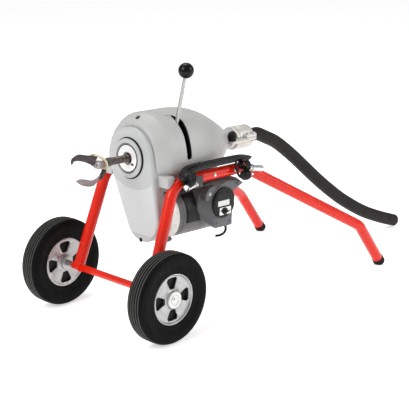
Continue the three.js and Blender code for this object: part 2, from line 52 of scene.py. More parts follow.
MATS = {}
def material(name, base, rough=0.5, metal=0.0, spread=0.06, spot=60.0, grain=0.15, grain_size=900.0, wave=0.0, wave_size=60.0,
             wear=None, wear_amount=0.5, wear_radius=0.0012, dirt=0.0, coat=0.0, rough_var=0.08, brushed=None, spec=0.5, scratch=0.0):
    if name in MATS:
        return MATS[name]
    m = bpy.data.materials.new(name)
    m.use_nodes = True
    nt = m.node_tree
    nt.nodes.clear()
    N, L = nt.nodes.new, nt.links.new
    out = N("ShaderNodeOutputMaterial"); b = N("ShaderNodeBsdfPrincipled"); L(b.outputs[0], out.inputs[0])
    tc = N("ShaderNodeTexCoord")
    def noise(scale, detail=4.0, rough_=0.55, stretch=None):
        n = N("ShaderNodeTexNoise"); n.inputs["Scale"].default_value = scale; n.inputs["Detail"].default_value = detail; n.inputs["Roughness"].default_value = rough_
        if stretch:
            mp = N("ShaderNodeMapping"); mp.inputs["Scale"].default_value = stretch; L(tc.outputs["Object"], mp.inputs["Vector"]); L(mp.outputs[0], n.inputs["Vector"])
        else:
            L(tc.outputs["Object"], n.inputs["Vector"])
        return n
    def ramp(src, lo, hi, a, c):
        r = N("ShaderNodeMapRange"); r.inputs["From Min"].default_value = lo; r.inputs["From Max"].default_value = hi
        r.inputs["To Min"].default_value = a; r.inputs["To Max"].default_value = c; L(src, r.inputs["Value"]); return r.outputs[0]
    def mixc(fac, a, c):
        x = N("ShaderNodeMix"); x.data_type = "RGBA"
        if isinstance(fac, float): x.inputs[0].default_value = fac
        else: L(fac, x.inputs[0])
        for s, v in ((6, a), (7, c)):
            if isinstance(v, tuple): x.inputs[s].default_value = v
            else: L(v, x.inputs[s])
        return x.outputs[2]
    dark = tuple(c * (1 - spread * 2.2) for c in base[:3]) + (1.0,)
    light = tuple(min(1.0, c * (1 + spread * 1.6)) for c in base[:3]) + (1.0,)
    big = noise(spot, 5.0)
    col = mixc(ramp(big.outputs[0], 0.35, 0.65, 0.0, 1.0), dark, light)
    col = mixc(0.45, col, base)
    if dirt:
        d = noise(spot * 0.35, 6.0, 0.7)
        col = mixc(ramp(d.outputs[0], 0.52, 0.75, 0.0, dirt), col, (0.09, 0.075, 0.06, 1.0))
    if scratch:
        s = noise(160.0, 3.0, 0.6, (1.0, 14.0, 3.0))
        col = mixc(ramp(s.outputs[0], 0.66, 0.72, 0.0, scratch), col, light)
    metal_socket = None
    if wear is not None:
        bev = N("ShaderNodeBevel"); bev.samples = 4; bev.inputs["Radius"].default_value = wear_radius
        geo = N("ShaderNodeNewGeometry"); dot = N("ShaderNodeVectorMath"); dot.operation = "DOT_PRODUCT"
        L(bev.outputs[0], dot.inputs[0]); L(geo.outputs["Normal"], dot.inputs[1])
        edge = ramp(dot.outputs["Value"], 0.97, 0.86, 0.0, 1.0)
        wn = noise(220.0, 4.0, 0.65)
        wmask = ramp(wn.outputs[0], 0.44, 0.62, 0.0, wear_amount)
        mul = N("ShaderNodeMath"); mul.operation = "MULTIPLY"; L(edge, mul.inputs[0]); L(wmask, mul.inputs[1])
        col = mixc(mul.outputs[0], col, wear)
    L(col, b.inputs["Base Color"])
    rn = noise(spot * 1.7, 4.0)
    rr = ramp(rn.outputs[0], 0.3, 0.7, max(0.03, rough - rough_var), min(1.0, rough + rough_var))
    L(rr, b.inputs["Roughness"])
    b.inputs["Metallic"].default_value = metal
    b.inputs["Specular IOR Level"].default_value = spec
    if coat:
        b.inputs["Coat Weight"].default_value = coat; b.inputs["Coat Roughness"].default_value = 0.12
    bump = N("ShaderNodeBump"); bump.inputs["Strength"].default_value = 1.0; bump.inputs["Distance"].default_value = 0.0001 * grain * 6
    g = noise(grain_size, 3.0, 0.6, brushed)
    h = g.outputs[0]
    if wave:
        w = noise(wave_size, 2.0, 0.5)
        sc = N("ShaderNodeMath"); sc.operation = "MULTIPLY_ADD"; L(w.outputs[0], sc.inputs[0]); sc.inputs[1].default_value = wave; L(h, sc.inputs[2]); h = sc.outputs[0]
    L(h, bump.inputs["Height"]); L(bump.outputs[0], b.inputs["Normal"])
    MATS[name] = m
    return m

M_RED = material("red_powder_coat", srgb(219, 30, 3), 0.27, 0.0, spread=0.05, spot=14, grain=0.10, grain_size=700, wave=1.5, wave_size=120, wear=(0.30, 0.27, 0.25, 1), wear_amount=0.5, coat=0.15, scratch=0.06, spec=0.35)
M_GREY = material("warm_grey_enamel", srgb(180, 180, 179), 0.42, 0.0, spread=0.035, spot=9, grain=0.22, grain_size=520, wave=2.0, wave_size=90, wear=(0.36, 0.34, 0.31, 1), wear_amount=0.55, dirt=0.05, coat=0.1)
M_GUARD = material("guard_grey_enamel", srgb(184, 185, 185), 0.42, 0.0, spread=0.035, spot=11, grain=0.22, grain_size=520, wave=2.0, wave_size=90, wear=(0.36, 0.34, 0.31, 1), wear_amount=0.55, dirt=0.05, coat=0.1)
M_DARK = material("dark_grey_enamel", srgb(84, 84, 86), 0.42, 0.0, spread=0.07, spot=25, grain=0.35, grain_size=650, wave=1.0, wave_size=80, wear=(0.30, 0.30, 0.30, 1), wear_amount=0.4, dirt=0.1)
M_HOUSING = material("switch_housing_grey", srgb(92, 93, 95), 0.5, 0.0, spread=0.06, spot=25, grain=0.6, grain_size=750, wear=(0.30, 0.30, 0.30, 1), wear_amount=0.35, dirt=0.08)
M_BLACK = material("black_moulded_plastic", srgb(7, 7, 7), 0.42, 0.0, spread=0.1, spot=40, grain=0.45, grain_size=1100, dirt=0.03, spec=0.3)
M_GLOSS = material("black_gloss_phenolic", srgb(8, 8, 8), 0.16, 0.0, spread=0.08, spot=50, grain=0.04, grain_size=500, coat=0.0, rough_var=0.04, spec=0.22)
M_RUBBER = material("black_rubber", srgb(22, 21, 21), 0.7, 0.0, spread=0.12, spot=30, grain=0.5, grain_size=1200, dirt=0.04, spec=0.2)
# lighter rubber on the rib crowns: a painted highlight along the tread ribs
M_TREAD_HIGHLIGHT = material("tyre_rib_painted_highlight", srgb(58, 57, 56), 0.6, 0.0, spread=0.12, spot=40, grain=0.6, grain_size=900, wave=1.0, wave_size=150, dirt=0.04, spec=0.3)
M_TYRE = material("tyre_rubber", srgb(6, 6, 6), 0.6, 0.0, spread=0.12, spot=26, grain=0.6, grain_size=900, wave=1.0, wave_size=150, dirt=0.02, spec=0.10)
M_HOSE = material("guide_hose_rubber", srgb(28, 25, 24), 0.6, 0.0, spread=0.12, spot=18, grain=0.45, grain_size=800, wave=1.5, wave_size=110, dirt=0.04, spec=0.22)
M_CORD = material("cord_jacket", srgb(5, 5, 6), 0.27, 0.0, spread=0.1, spot=60, grain=0.12, grain_size=1400, spec=0.34)
M_ZINC = material("bright_zinc_plate", srgb(222, 222, 220), 0.22, 0.92, spread=0.05, spot=45, grain=0.12, grain_size=900, wave=1.0, wave_size=140, rough_var=0.08)
M_ALU = material("cast_aluminium", srgb(214, 211, 206), 0.42, 0.55, spread=0.06, spot=70, grain=0.9, grain_size=520, rough_var=0.1, dirt=0.08, wear=(0.85, 0.85, 0.84, 1), wear_amount=0.6)
M_RIM = material("rim_aluminium", srgb(184, 184, 184), 0.36, 0.8, spread=0.09, spot=60, grain=0.9, grain_size=420, wave=2.0, wave_size=60, rough_var=0.12, dirt=0.12, wear=(0.85, 0.85, 0.84, 1), wear_amount=0.6)
M_STEEL = material("machined_steel", srgb(176, 175, 173), 0.3, 0.95, spread=0.06, spot=60, grain=0.25, grain_size=700, brushed=(1.0, 8.0, 8.0), rough_var=0.1)
M_HUB = material("machined_hub_face", srgb(238, 237, 236), 0.40, 0.25, spread=0.02, spot=60, grain=0.1, grain_size=900, rough_var=0.06)
M_CAST = material("cast_iron", srgb(92, 90, 88), 0.62, 0.5, spread=0.12, spot=60, grain=1.2, grain_size=430, rough_var=0.12, dirt=0.15)
M_BRACKET = material("bracket_grey", srgb(62, 60, 58), 0.5, 0.2, spread=0.10, spot=50, grain=0.8, grain_size=500, dirt=0.15, wear=(0.6, 0.58, 0.55, 1), wear_amount=0.5)
M_COIL = material("oiled_spring_wire", srgb(112, 100, 96), 0.30, 0.85, spread=0.16, spot=120, grain=0.2, grain_size=900, dirt=0.25)
M_CORE = material("cable_core_dark", srgb(26, 23, 22), 0.6, 0.1, spread=0.1, spot=120, grain=0.3, grain_size=900)
M_BLADE = material("blued_tool_steel", srgb(78, 70, 72), 0.36, 0.75, spread=0.18, spot=90, grain=0.4, grain_size=520, brushed=(8.0, 1.0, 1.0), rough_var=0.12, wear=(0.45, 0.42, 0.42, 1), wear_amount=0.8, dirt=0.15)
M_STRAP = material("tan_lacquered_steel", srgb(222, 207, 178), 0.34, 0.35, spread=0.06, spot=60, grain=0.2, grain_size=700, rough_var=0.08, wear=(0.35, 0.30, 0.22, 1), wear_amount=0.7)
M_LOWARM = material("ground_tool_steel", srgb(150, 138, 139), 0.36, 0.7, spread=0.14, spot=70, grain=0.3, grain_size=520, brushed=(8.0, 1.0, 1.0), rough_var=0.12, wear=(0.3, 0.28, 0.28, 1), wear_amount=0.8)
M_LABEL = material("blank_label_film", srgb(200, 201, 201), 0.5, 0.0, spread=0.01, spot=30, grain=0.02, grain_size=300)
M_WHITE = material("blank_white_label", srgb(226, 226, 222), 0.4, 0.0, spread=0.02, spot=60, grain=0.05, grain_size=300)
# near-black used as painted shade in hollows, slot walls and holes, and also for the dark casting line and the hub
# plate's outline ring
M_SHADOW = material("painted_shade_and_seam_black", srgb(14, 13, 13), 0.8, 0.0, spread=0.05, spot=60, grain=0.2, grain_size=600)
M_BELT = material("belt_rubber", srgb(26, 25, 25), 0.7, 0.0, spread=0.1, spot=90, grain=0.6, grain_size=900)
M_COPPER = material("varnished_laminations", srgb(120, 84, 60), 0.4, 0.6, spread=0.15, spot=120, grain=0.8, grain_size=600, brushed=(20.0, 1.0, 1.0))

# ------------------------------------------------------------------ mesh helpers (millimetres in, metres out)
def mesh(name, verts, faces, mat, body, M=HEAD, reps=(), smooth=32, bevel=0.0, bevel_angle=28, seg=3, slot=None, mats=None, weld=0.02):
    me = bpy.data.meshes.new(name)
    bm = bmesh.new()
    vs = [bm.verts.new(v) for v in verts]
    for f in faces:
        try:
            bm.faces.new([vs[i] for i in f])
        except ValueError:
            pass
    bmesh.ops.remove_doubles(bm, verts=bm.verts, dist=weld)
    bmesh.ops.recalc_face_normals(bm, faces=bm.faces)
    if bevel:
        edges = [e for e in bm.edges if len(e.link_faces) == 2 and e.calc_face_angle(0) > math.radians(bevel_angle)]
        bmesh.ops.bevel(bm, geom=edges, offset=bevel, segments=seg, profile=0.5, affect="EDGES", clamp_overlap=True)
        bmesh.ops.recalc_face_normals(bm, faces=bm.faces)
    bmesh.ops.transform(bm, matrix=M @ Matrix.Scale(MM, 4), verts=bm.verts)
    bm.to_mesh(me)
    bm.free()
    ob = bpy.data.objects.new(name, me)
    LINK(ob)
    me.materials.append(mat)
    shade(ob, smooth)
    ob["_body"] = body or ""
    if body:
        own(ob, body, reps)
    return ob

def shade(ob, angle=32):
    me = ob.data
    me.polygons.foreach_set("use_smooth", [True] * len(me.polygons))
    me.set_sharp_from_angle(angle=math.radians(angle))

def own(ob, body, reps=()):
    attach(ob, body)
    if reps:
        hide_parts(*reps)
    return ob

AX = {"X": lambda r, t, a, c: (a, c[0] + r * math.cos(t), c[1] + r * math.sin(t)),
      "Y": lambda r, t, a, c: (c[0] + r * math.cos(t), a, c[1] + r * math.sin(t)),
      "Z": lambda r, t, a, c: (c[0] + r * math.cos(t), c[1] + r * math.sin(t), a)}

def lathe_data(profile, seg=72, axis="X", c=(0, 0), closed=False, phase=0.0):
    verts, rings = [], []
    for r, a in profile:
        if r < 1e-6:
            rings.append([len(verts)]); verts.append(AX[axis](0, 0, a, c))
        else:
            rings.append(list(range(len(verts), len(verts) + seg)))
            verts += [AX[axis](r, 2 * math.pi * i / seg + phase, a, c) for i in range(seg)]
    faces = []
    pairs = list(zip(rings, rings[1:])) + ([(rings[-1], rings[0])] if closed else [])
    for p, q in pairs:
        for i in range(seg):
            j = (i + 1) % seg
            if len(p) == 1 and len(q) == 1: continue
            if len(p) == 1: faces.append([p[0], q[i], q[j]])
            elif len(q) == 1: faces.append([p[i], q[0], p[j]])
            else: faces.append([p[i], q[i], q[j], p[j]])
    return verts, faces

def fillet(pts, radii, n=4, closed=False):
    """2-D outline with its corners rounded; radii is one number or one per point"""
    if isinstance(radii, (int, float)): radii = [radii] * len(pts)
    out, k = [], len(pts)
    for i, p in enumerate(pts):
        r = radii[i]
        if r <= 0 or (not closed and i in (0, k - 1)):
            out.append(tuple(p)); continue
        P, A, B = Vector(p[:2]), Vector(pts[i - 1][:2]), Vector(pts[(i + 1) % k][:2])
        a, b = A - P, B - P
        la, lb = a.length, b.length
        if la < 1e-6 or lb < 1e-6: out.append(tuple(p)); continue
        a /= la; b /= lb
        half = math.acos(max(-1, min(1, a.dot(b)))) / 2
        if half > math.radians(88.5): out.append(tuple(p)); continue
        cut = min(r / math.tan(half), la * 0.48, lb * 0.48); r = cut * math.tan(half)
        cen = P + (a + b).normalized() * (r / math.sin(half))
        u, v = P + a * cut - cen, P + b * cut - cen
        ang = math.acos(max(-1, min(1, u.dot(v) / (r * r))))
        for j in range(n + 1):
            t = j / n
            w = u * (math.sin((1 - t) * ang) / math.sin(ang)) + v * (math.sin(t * ang) / math.sin(ang))
            out.append((cen.x + w.x, cen.y + w.y))
    return out

def lathe(name, profile, mat, body, axis="X", c=(0, 0), seg=72, closed=False, M=HEAD, reps=(), smooth=30, slot=None, fil=None, fn=3):
    if fil is not None: profile = fillet(profile, fil, fn, closed)
    v, f = lathe_data(profile, seg, axis, c, closed)
    return mesh(name, v, f, mat, body, M, reps, smooth, slot=slot, weld=0.002)

def frames(pts, closed=False):
    P = [Vector(p) for p in pts]; n = len(P); T = []
    for i in range(n):
        a = P[(i - 1) % n] if (closed or i) else P[0]
        b = P[(i + 1) % n] if (closed or i < n - 1) else P[-1]
        T.append((b - a).normalized())
    up = Vector((0, 0, 1)) if abs(T[0].z) < 0.9 else Vector((0, 1, 0))
    x = (up - T[0] * up.dot(T[0])).normalized(); F = []
    for i in range(n):
        if i:
            q = T[i - 1].rotation_difference(T[i]); x = (q @ x); x = (x - T[i] * x.dot(T[i])).normalized()
        F.append((P[i], T[i], x.copy(), T[i].cross(x)))
    return F

def sweep_data(pts, r, sides=24, closed=False, cap=True, ends=0.0, section=None):
    F = frames(pts, closed)
    if closed:   # spread the twist evenly so that the ends meet
        x0, t0 = F[0][2], F[0][1]; q = F[-1][1].rotation_difference(t0); xe = q @ F[-1][2]
        a = math.atan2(t0.dot(xe.cross(x0)), xe.dot(x0))
        F = [(p, t, Quaternion(t, a * i / len(F)) @ x, Quaternion(t, a * i / len(F)) @ y) for i, (p, t, x, y) in enumerate(F)]
    rad = r if callable(r) else (lambda i, n: r)
    verts, rings = [], []
    n = len(F)
    def put(p, x, y, rr):
        if section: vs = [p + x * (u * rr) + y * (w * rr) for u, w in section]
        else: vs = [p + x * (rr * math.cos(2 * math.pi * k / sides)) + y * (rr * math.sin(2 * math.pi * k / sides)) for k in range(sides)]
        rings.append(list(range(len(verts), len(verts) + len(vs)))); verts.extend(vs)
    for i, (p, t, x, y) in enumerate(F):
        rr = rad(i, n)
        if ends and i == 0 and not closed:
            for k in range(1, 4): a = math.pi / 2 * k / 4; put(p + t * ends * (1 - math.sin(a)), x, y, rr - ends * (1 - math.cos(math.pi / 2 - a)) if False else rr - ends + ends * math.sin(a))
            put(p + t * ends, x, y, rr)
        elif ends and i == n - 1 and not closed:
            put(p - t * ends, x, y, rr)
            for k in (3, 2, 1): a = math.pi / 2 * k / 4; put(p - t * ends * (1 - math.sin(a)), x, y, rr - ends + ends * math.sin(a))
        else: put(p, x, y, rr)
    faces = []
    pairs = list(zip(rings, rings[1:])) + ([(rings[-1], rings[0])] if closed else [])
    for a, b in pairs:
        m = len(a)
        for k in range(m): faces.append([a[k], a[(k + 1) % m], b[(k + 1) % m], b[k]])
    if cap and not closed: faces += [list(reversed(rings[0])), rings[-1]]
    return verts, faces

def sweep(name, pts, r, mat, body, sides=24, closed=False, M=HEAD, reps=(), ends=0.0, section=None, smooth=40, slot=None):
    v, f = sweep_data(pts, r, sides, closed, True, ends, section)
    return mesh(name, v, f, mat, body, M, reps, smooth, slot=slot, weld=0.0005)

def catmull(pts, n=10, closed=False):
    P = [Vector(p) for p in pts]; out = []; k = len(P)
    for i in range(k if closed else k - 1):
        p0 = P[(i - 1) % k] if (closed or i) else P[0] * 2 - P[1]
        p1, p2 = P[i], P[(i + 1) % k]
        p3 = P[(i + 2) % k] if (closed or i < k - 2) else P[-1] * 2 - P[-2]
        t0, t1 = 0, max(1e-6, (p1 - p0).length ** 0.5); t2 = t1 + max(1e-6, (p2 - p1).length ** 0.5); t3 = t2 + max(1e-6, (p3 - p2).length ** 0.5)
        for j in range(n):
            t = t1 + (t2 - t1) * j / n
            a1 = p0 * ((t1 - t) / (t1 - t0)) + p1 * ((t - t0) / (t1 - t0)); a2 = p1 * ((t2 - t) / (t2 - t1)) + p2 * ((t - t1) / (t2 - t1)); a3 = p2 * ((t3 - t) / (t3 - t2)) + p3 * ((t - t2) / (t3 - t2))
            b1 = a1 * ((t2 - t) / (t2 - t0)) + a2 * ((t - t0) / (t2 - t0)); b2 = a2 * ((t3 - t) / (t3 - t1)) + a3 * ((t - t1) / (t3 - t1))
            out.append(b1 * ((t2 - t) / (t2 - t1)) + b2 * ((t - t1) / (t2 - t1)))
    if not closed: out.append(P[-1])
    return out

def corners(pts, radii, n=14):
    """3-D polyline with rounded inner corners"""
    P = [Vector(p) for p in pts]; out = [P[0]]
    for i in range(1, len(P) - 1):
        a, b = (P[i - 1] - P[i]).normalized(), (P[i + 1] - P[i]).normalized()
        half = math.acos(max(-1, min(1, a.dot(b)))) / 2; r = radii[i - 1]; cut = r / math.tan(half)
        c = P[i] + (a + b).normalized() * (r / math.sin(half)); u, v = P[i] + a * cut - c, P[i] + b * cut - c
        ang = math.acos(max(-1, min(1, u.dot(v) / (r * r))))
        for k in range(n + 1):
            t = k / n; out.append(c + u * (math.sin((1 - t) * ang) / math.sin(ang)) + v * (math.sin(t * ang) / math.sin(ang)))
    out.append(P[-1])
    return out

def prism_data(outline, a0, a1, axis="Y", holes=()):
    """outline in the plane across the axis: Y takes (x, z), X takes (y, z), Z takes (x, y)"""
    bm = bmesh.new()
    place = {"Y": lambda p, a: (p[0], a, p[1]), "X": lambda p, a: (a, p[0], p[1]), "Z": lambda p, a: (p[0], p[1], a)}[axis]
    if not holes:
        n = len(outline)
        v = [place(p, a0) for p in outline] + [place(p, a1) for p in outline]
        f = [list(range(n)), list(range(2 * n - 1, n - 1, -1))] + [[i, (i + 1) % n, n + (i + 1) % n, n + i] for i in range(n)]
        return v, f
    edges = []
    for loop in [outline, *holes]:
        vs = [bm.verts.new(place(p, a0)) for p in loop]
        edges += [bm.edges.new((vs[i], vs[(i + 1) % len(vs)])) for i in range(len(vs))]
    bmesh.ops.triangle_fill(bm, use_beauty=True, use_dissolve=True, edges=edges)
    ex = bmesh.ops.extrude_face_region(bm, geom=list(bm.faces))
    shift = Vector(place((0, 0), a1)) - Vector(place((0, 0), a0))
    bmesh.ops.translate(bm, vec=shift, verts=[g for g in ex["geom"] if isinstance(g, bmesh.types.BMVert)])
    bm.verts.index_update()
    v, f = [tuple(x.co) for x in bm.verts], [[x.index for x in y.verts] for y in bm.faces]
    bm.free()
    return v, f

def prism(name, outline, a0, a1, mat, body, axis="Y", holes=(), bevel=1.0, M=HEAD, reps=(), seg=3, smooth=30, slot=None, bevel_angle=28):
    v, f = prism_data(outline, a0, a1, axis, holes)
    return mesh(name, v, f, mat, body, M, reps, smooth, bevel, bevel_angle, seg, slot)

def block(name, lo, hi, mat, body, bevel=1.5, M=HEAD, reps=(), seg=3, slot=None):
    (x0, y0, z0), (x1, y1, z1) = lo, hi
    return prism(name, [(x0, z0), (x1, z0), (x1, z1), (x0, z1)], y0, y1, mat, body, "Y", (), bevel, M, reps, seg, slot=slot)

def arc(cx, cy, r, a0, a1, n):
    return [(cx + r * math.cos(math.radians(a0 + (a1 - a0) * i / n)), cy + r * math.sin(math.radians(a0 + (a1 - a0) * i / n))) for i in range(n + 1)]

def joined(name, parts, mat, body, M=HEAD, reps=(), smooth=32, slot=None, weld=0.0):
    """several closed shells in one object"""
    V_, F_ = [], []
    for v, f in parts:
        k = len(V_); V_ += list(v); F_ += [[i + k for i in g] for g in f]
    return mesh(name, V_, F_, mat, body, M, reps, smooth, slot=slot, weld=weld or 0.0001)

def tool(v, f, M=HEAD):
    ob = mesh("cutter_tool", v, f, M_SHADOW, None, M)
    return ob

def solid_volume(me):
    bm = bmesh.new(); bm.from_mesh(me); v = bm.calc_volume(signed=False); open_ = sum(1 for e in bm.edges if len(e.link_faces) != 2); bm.free()
    return v, open_

def boolean(ob, cutters, op="DIFFERENCE", keep=False, smooth=32, bevel=0.0, bevel_angle=40):
    for c in cutters:
        v0, _ = solid_volume(ob.data); vc, _ = solid_volume(c.data); best = None
        for solver in ("MANIFOLD", "EXACT"):
            m = ob.modifiers.new("b", "BOOLEAN"); m.object = c; m.operation = op; m.solver = solver
            bpy.context.view_layer.update()
            me = bpy.data.meshes.new_from_object(ob.evaluated_get(bpy.context.evaluated_depsgraph_get()))
            ob.modifiers.clear()
            v1, open_ = solid_volume(me)
            changed = abs(v1 - v0) > 1e-13
            fair = (v0 - vc * 1.001 - 1e-12 <= v1 <= v0 * 1.0001) if op == "DIFFERENCE" else (v1 >= v0 * 0.999) if op == "UNION" else (v1 <= v0 * 1.0001)
            score = (bool(len(me.polygons)) and fair, changed, -open_)
            if best is None or score > best[0]:
                if best: bpy.data.meshes.remove(best[1])
                best = (score, me, solver)
            else:
                bpy.data.meshes.remove(me)
            if best[0] == (True, True, 0): break
        if best[0] != (True, True, 0): print("BOOLEAN", ob.name, c.name, op, best[0], best[2])
        old = ob.data; nm = old.name; ob.data = best[1]; bpy.data.meshes.remove(old); ob.data.name = nm
        if not keep: bpy.data.objects.remove(c)
    mat0 = ob.data.materials[0]
    ob.data.materials.clear(); ob.data.materials.append(mat0)
    ob.data.polygons.foreach_set("material_index", [0] * len(ob.data.polygons))
    if bevel:
        bm = bmesh.new(); bm.from_mesh(ob.data)
        bmesh.ops.remove_doubles(bm, verts=bm.verts, dist=0.00003)
        bmesh.ops.dissolve_limit(bm, angle_limit=math.radians(1.0), verts=bm.verts, edges=bm.edges)
        edges = [e for e in bm.edges if len(e.link_faces) == 2 and e.calc_face_angle(0) > math.radians(bevel_angle)]
        bmesh.ops.bevel(bm, geom=edges, offset=bevel * MM, segments=2, profile=0.5, affect="EDGES", clamp_overlap=True)
        bm.to_mesh(ob.data); bm.free()
    shade(ob, smooth)
    return ob

def smooth_line(pts, n=6):
    return [tuple(p)[:2] for p in catmull([(a, b, 0) for a, b in pts], n)]

def hexagon(c, r, phase=0.0):
    return [(c[0] + r * math.cos(math.pi / 3 * i + phase), c[1] + r * math.sin(math.pi / 3 * i + phase)) for i in range(6)]

def screw_z(name, x, y, z, r, h, mat, body, M=HEAD, socket=True, axis="Z"):
    c = (x, y)
    v, f = lathe_data(fillet([(0, z), (r, z), (r, z + h), (r * 0.55, z + h), (r * 0.5, z + h * 0.4), (0, z + h * 0.4)], [0, 0, h * 0.25, 0.1, 0.1, 0], 3), 28, axis, c)
    return mesh(name, v, f, mat, body, M, smooth=30)

def scene_part_1():
    # ============================================================== frame
    for side, sy in (("left", 1), ("right", -1)):
        pts = corners([(x, sy * y, z) for x, y, z in LEG], [62, 55, 60], 16)
        # extra stations on the straight runs keep the sweep even
        fine = []
        for a, b in zip(pts, pts[1:]):
            k = max(1, int((b - a).length / 28)); fine += [a.lerp(b, i / k) for i in range(k)]
        fine.append(pts[-1])
        sweep("side_tube_skin_" + side, fine, 16.0, M_RED, "frame", 44, M=WORLD, reps=["side_tube_" + side], ends=1.6)
        # weld bead where the leg meets the cross tube
        ring = [(14.5 * math.cos(2 * math.pi * i / 40), sy * 134, 127 + 11.3 * math.sin(2 * math.pi * i / 40)) for i in range(40)]
        bead = [(11.2 * math.cos(2 * math.pi * i / 40), sy * (148.2 - math.sqrt(16.0 ** 2 - (11.2 * math.cos(2 * math.pi * i / 40)) ** 2) - 0.4), 127 + 11.2 * math.sin(2 * math.pi * i / 40)) for i in range(40)]
        sweep("weld_bead_" + side, bead, lambda i, n: 2.3 + 0.35 * math.sin(i * 2.1), M_RED, "frame", 10, closed=True, M=WORLD)
        # rubber foot: ribbed cup, cut flat on the floor
        knee, end = Vector((LEG[3][0], sy * LEG[3][1], LEG[3][2])), Vector((LEG[4][0], sy * LEG[4][1], LEG[4][2])); d = (end - knee).normalized()
        prof = [(16.2, -6.9), (16.8, -6.9), (17.6, -6.2), (17.85, -4.8), (17.85, -1.0), (17.5, 0.0), (17.5, 1.0), (17.85, 2.0), (17.88, 9.4), (17.6, 11.4), (16.6, 13.4), (15.0, 14.9), (0, 15.0)]
        v, f = lathe_data(prof, 56, "Z"); q = Vector((0, 0, 1)).rotation_difference(d)
        v = [tuple(q @ Vector(p) + end) for p in v]
        rim = list(range(56)); f.append(list(reversed(rim)))
        bm = bmesh.new(); vs = [bm.verts.new(p) for p in v]
        for g in f:
            try: bm.faces.new([vs[i] for i in g])
            except ValueError: pass
        r = bmesh.ops.bisect_plane(bm, geom=bm.verts[:] + bm.edges[:] + bm.faces[:], plane_co=(0, 0, 0.05), plane_no=(0, 0, -1), clear_outer=True)
        cut = [e for e in r["geom_cut"] if isinstance(e, bmesh.types.BMEdge)]
        bmesh.ops.contextual_create(bm, geom=cut)
        bm.verts.index_update(); V_ = [tuple(x.co) for x in bm.verts]; F_ = [[x.index for x in y.verts] for y in bm.faces]; bm.free()
        mesh("foot_boot_" + side, V_, F_, M_RUBBER, "frame", WORLD, ["rubber_foot_" + side])
    cross = [(0, -167 + 334 * i / 24, 127) for i in range(25)]
    sweep("cross_tube_skin", cross, 10.0, M_RED, "frame", 36, M=WORLD, reps=["cross_tube"], ends=0.8)
    lathe("axle_rod", [(0, -249.5), (8, -249.5), (8, 249.5), (0, 249.5)], M_STEEL, "frame", "Y", (0, 127), 40, M=WORLD, reps=["axle"], fil=[0, 1, 1, 0])

    # ============================================================== wheels
    for side, sy in (("left", 1), ("right", -1)):
        cy = sy * 220; body = "wheel_" + side
        # tread: five ribs with four grooves; side walls stepped
        prof = [(71.4, -22), (74, -24.2), (80, -25.2), (88, -25.6), (90, -26.9), (97, -27.3), (99, -28.2), (110, -28.9), (112.5, -28.2), (114, -28.4), (119, -27.6), (122.5, -25.6), (124.6, -22.6), (125.2, -20.4)]
        for k in range(5):
            a0 = -19.4 + 8.4 * k; a1 = a0 + 5.2; rr = 126.2 + 0.8 * (1 - abs(k - 2) / 2)
            prof += [(rr - 1.2, a0), (rr - 0.7, a0 + 0.4), (rr - 0.7, a1 - 0.4), (rr - 1.2, a1)]
            if k < 4: prof += [(rr - 3.6, a1 + 0.5), (rr - 3.6, a1 + 2.7)]
            # the crown of each rib is a ring of lighter rubber, a painted highlight on the rib edges
            v, f = lathe_data([(r_, cy + sy * a_) for r_, a_ in ((rr - 1.6, a0 + 0.2), (rr - 0.3, a0 + 0.3), (rr, a0 + 0.8), (rr, a1 - 0.8), (rr - 0.3, a1 - 0.3), (rr - 1.6, a1 - 0.2))], 120, "Y", (0, 127), closed=True)
            mesh("tread_rib_%s_%d" % (side, k + 1), v, f, M_TREAD_HIGHLIGHT, body, WORLD, [], 28, weld=0.002)
        mirror = [(r, -a) for r, a in reversed(prof[:14])]
        prof = [(r, a) for r, a in prof] + mirror
        v, f = lathe_data([(r, cy + sy * a) for r, a in prof], 120, "Y", (0, 127), closed=True)
        mesh("tyre_body_" + side, v, f, M_TYRE, body, WORLD, ["tyre_" + side], 28, weld=0.002)
        # rim: rolled lip, dished web with four windows, hub boss
        web = [(70.9, -21.5), (70.9, 24.4), (70, 25), (68.4, 25), (67.2, 24), (66.2, 21.5), (64.5, 19.6), (60, 18.4), (52, 17.7), (44, 17.6), (36, 18.4), (29, 20.4), (26.2, 22.6), (25, 26), (24.2, 28), (22.6, 28.5), (19.6, 28.5), (18.9, 27.6), (15.2, 27.6), (14.6, 28.5), (9.2, 28.5), (8.4, 27.8), (8.4, -29), (18.4, -29), (19, -28.4), (20, 12), (22, 14), (29, 13.2), (44, 13.4), (60, 14.6), (65, 16.2), (66.2, 14), (66.4, -21.5)]
        v, f = lathe_data([(r, cy + sy * a) for r, a in web], 112, "Y", (0, 127), closed=True)
        rim = mesh("rim_web_" + side, v, f, M_RIM, body, WORLD, ["rim_" + side], 30, weld=0.002)
        cut = []
        for k in range(4):
            o = fillet([(28.8, -8.6), (53, -19.6), (60.0, -15.6), (61.2, 0), (60.0, 15.6), (53, 19.6), (28.8, 8.6)], [3.2, 5, 5, 20, 5, 5, 3.2], 5, True)
            a = math.pi / 2 * k
            o = [(x * math.cos(a) - z * math.sin(a), 127 + x * math.sin(a) + z * math.cos(a)) for x, z in o]
            y0, y1 = sorted((cy + sy * 5, cy + sy * 27))
            cut.append(tool(*prism_data(o, y0, y1, "Y"), M=WORLD))
        boolean(rim, cut, bevel=0.9, bevel_angle=50)
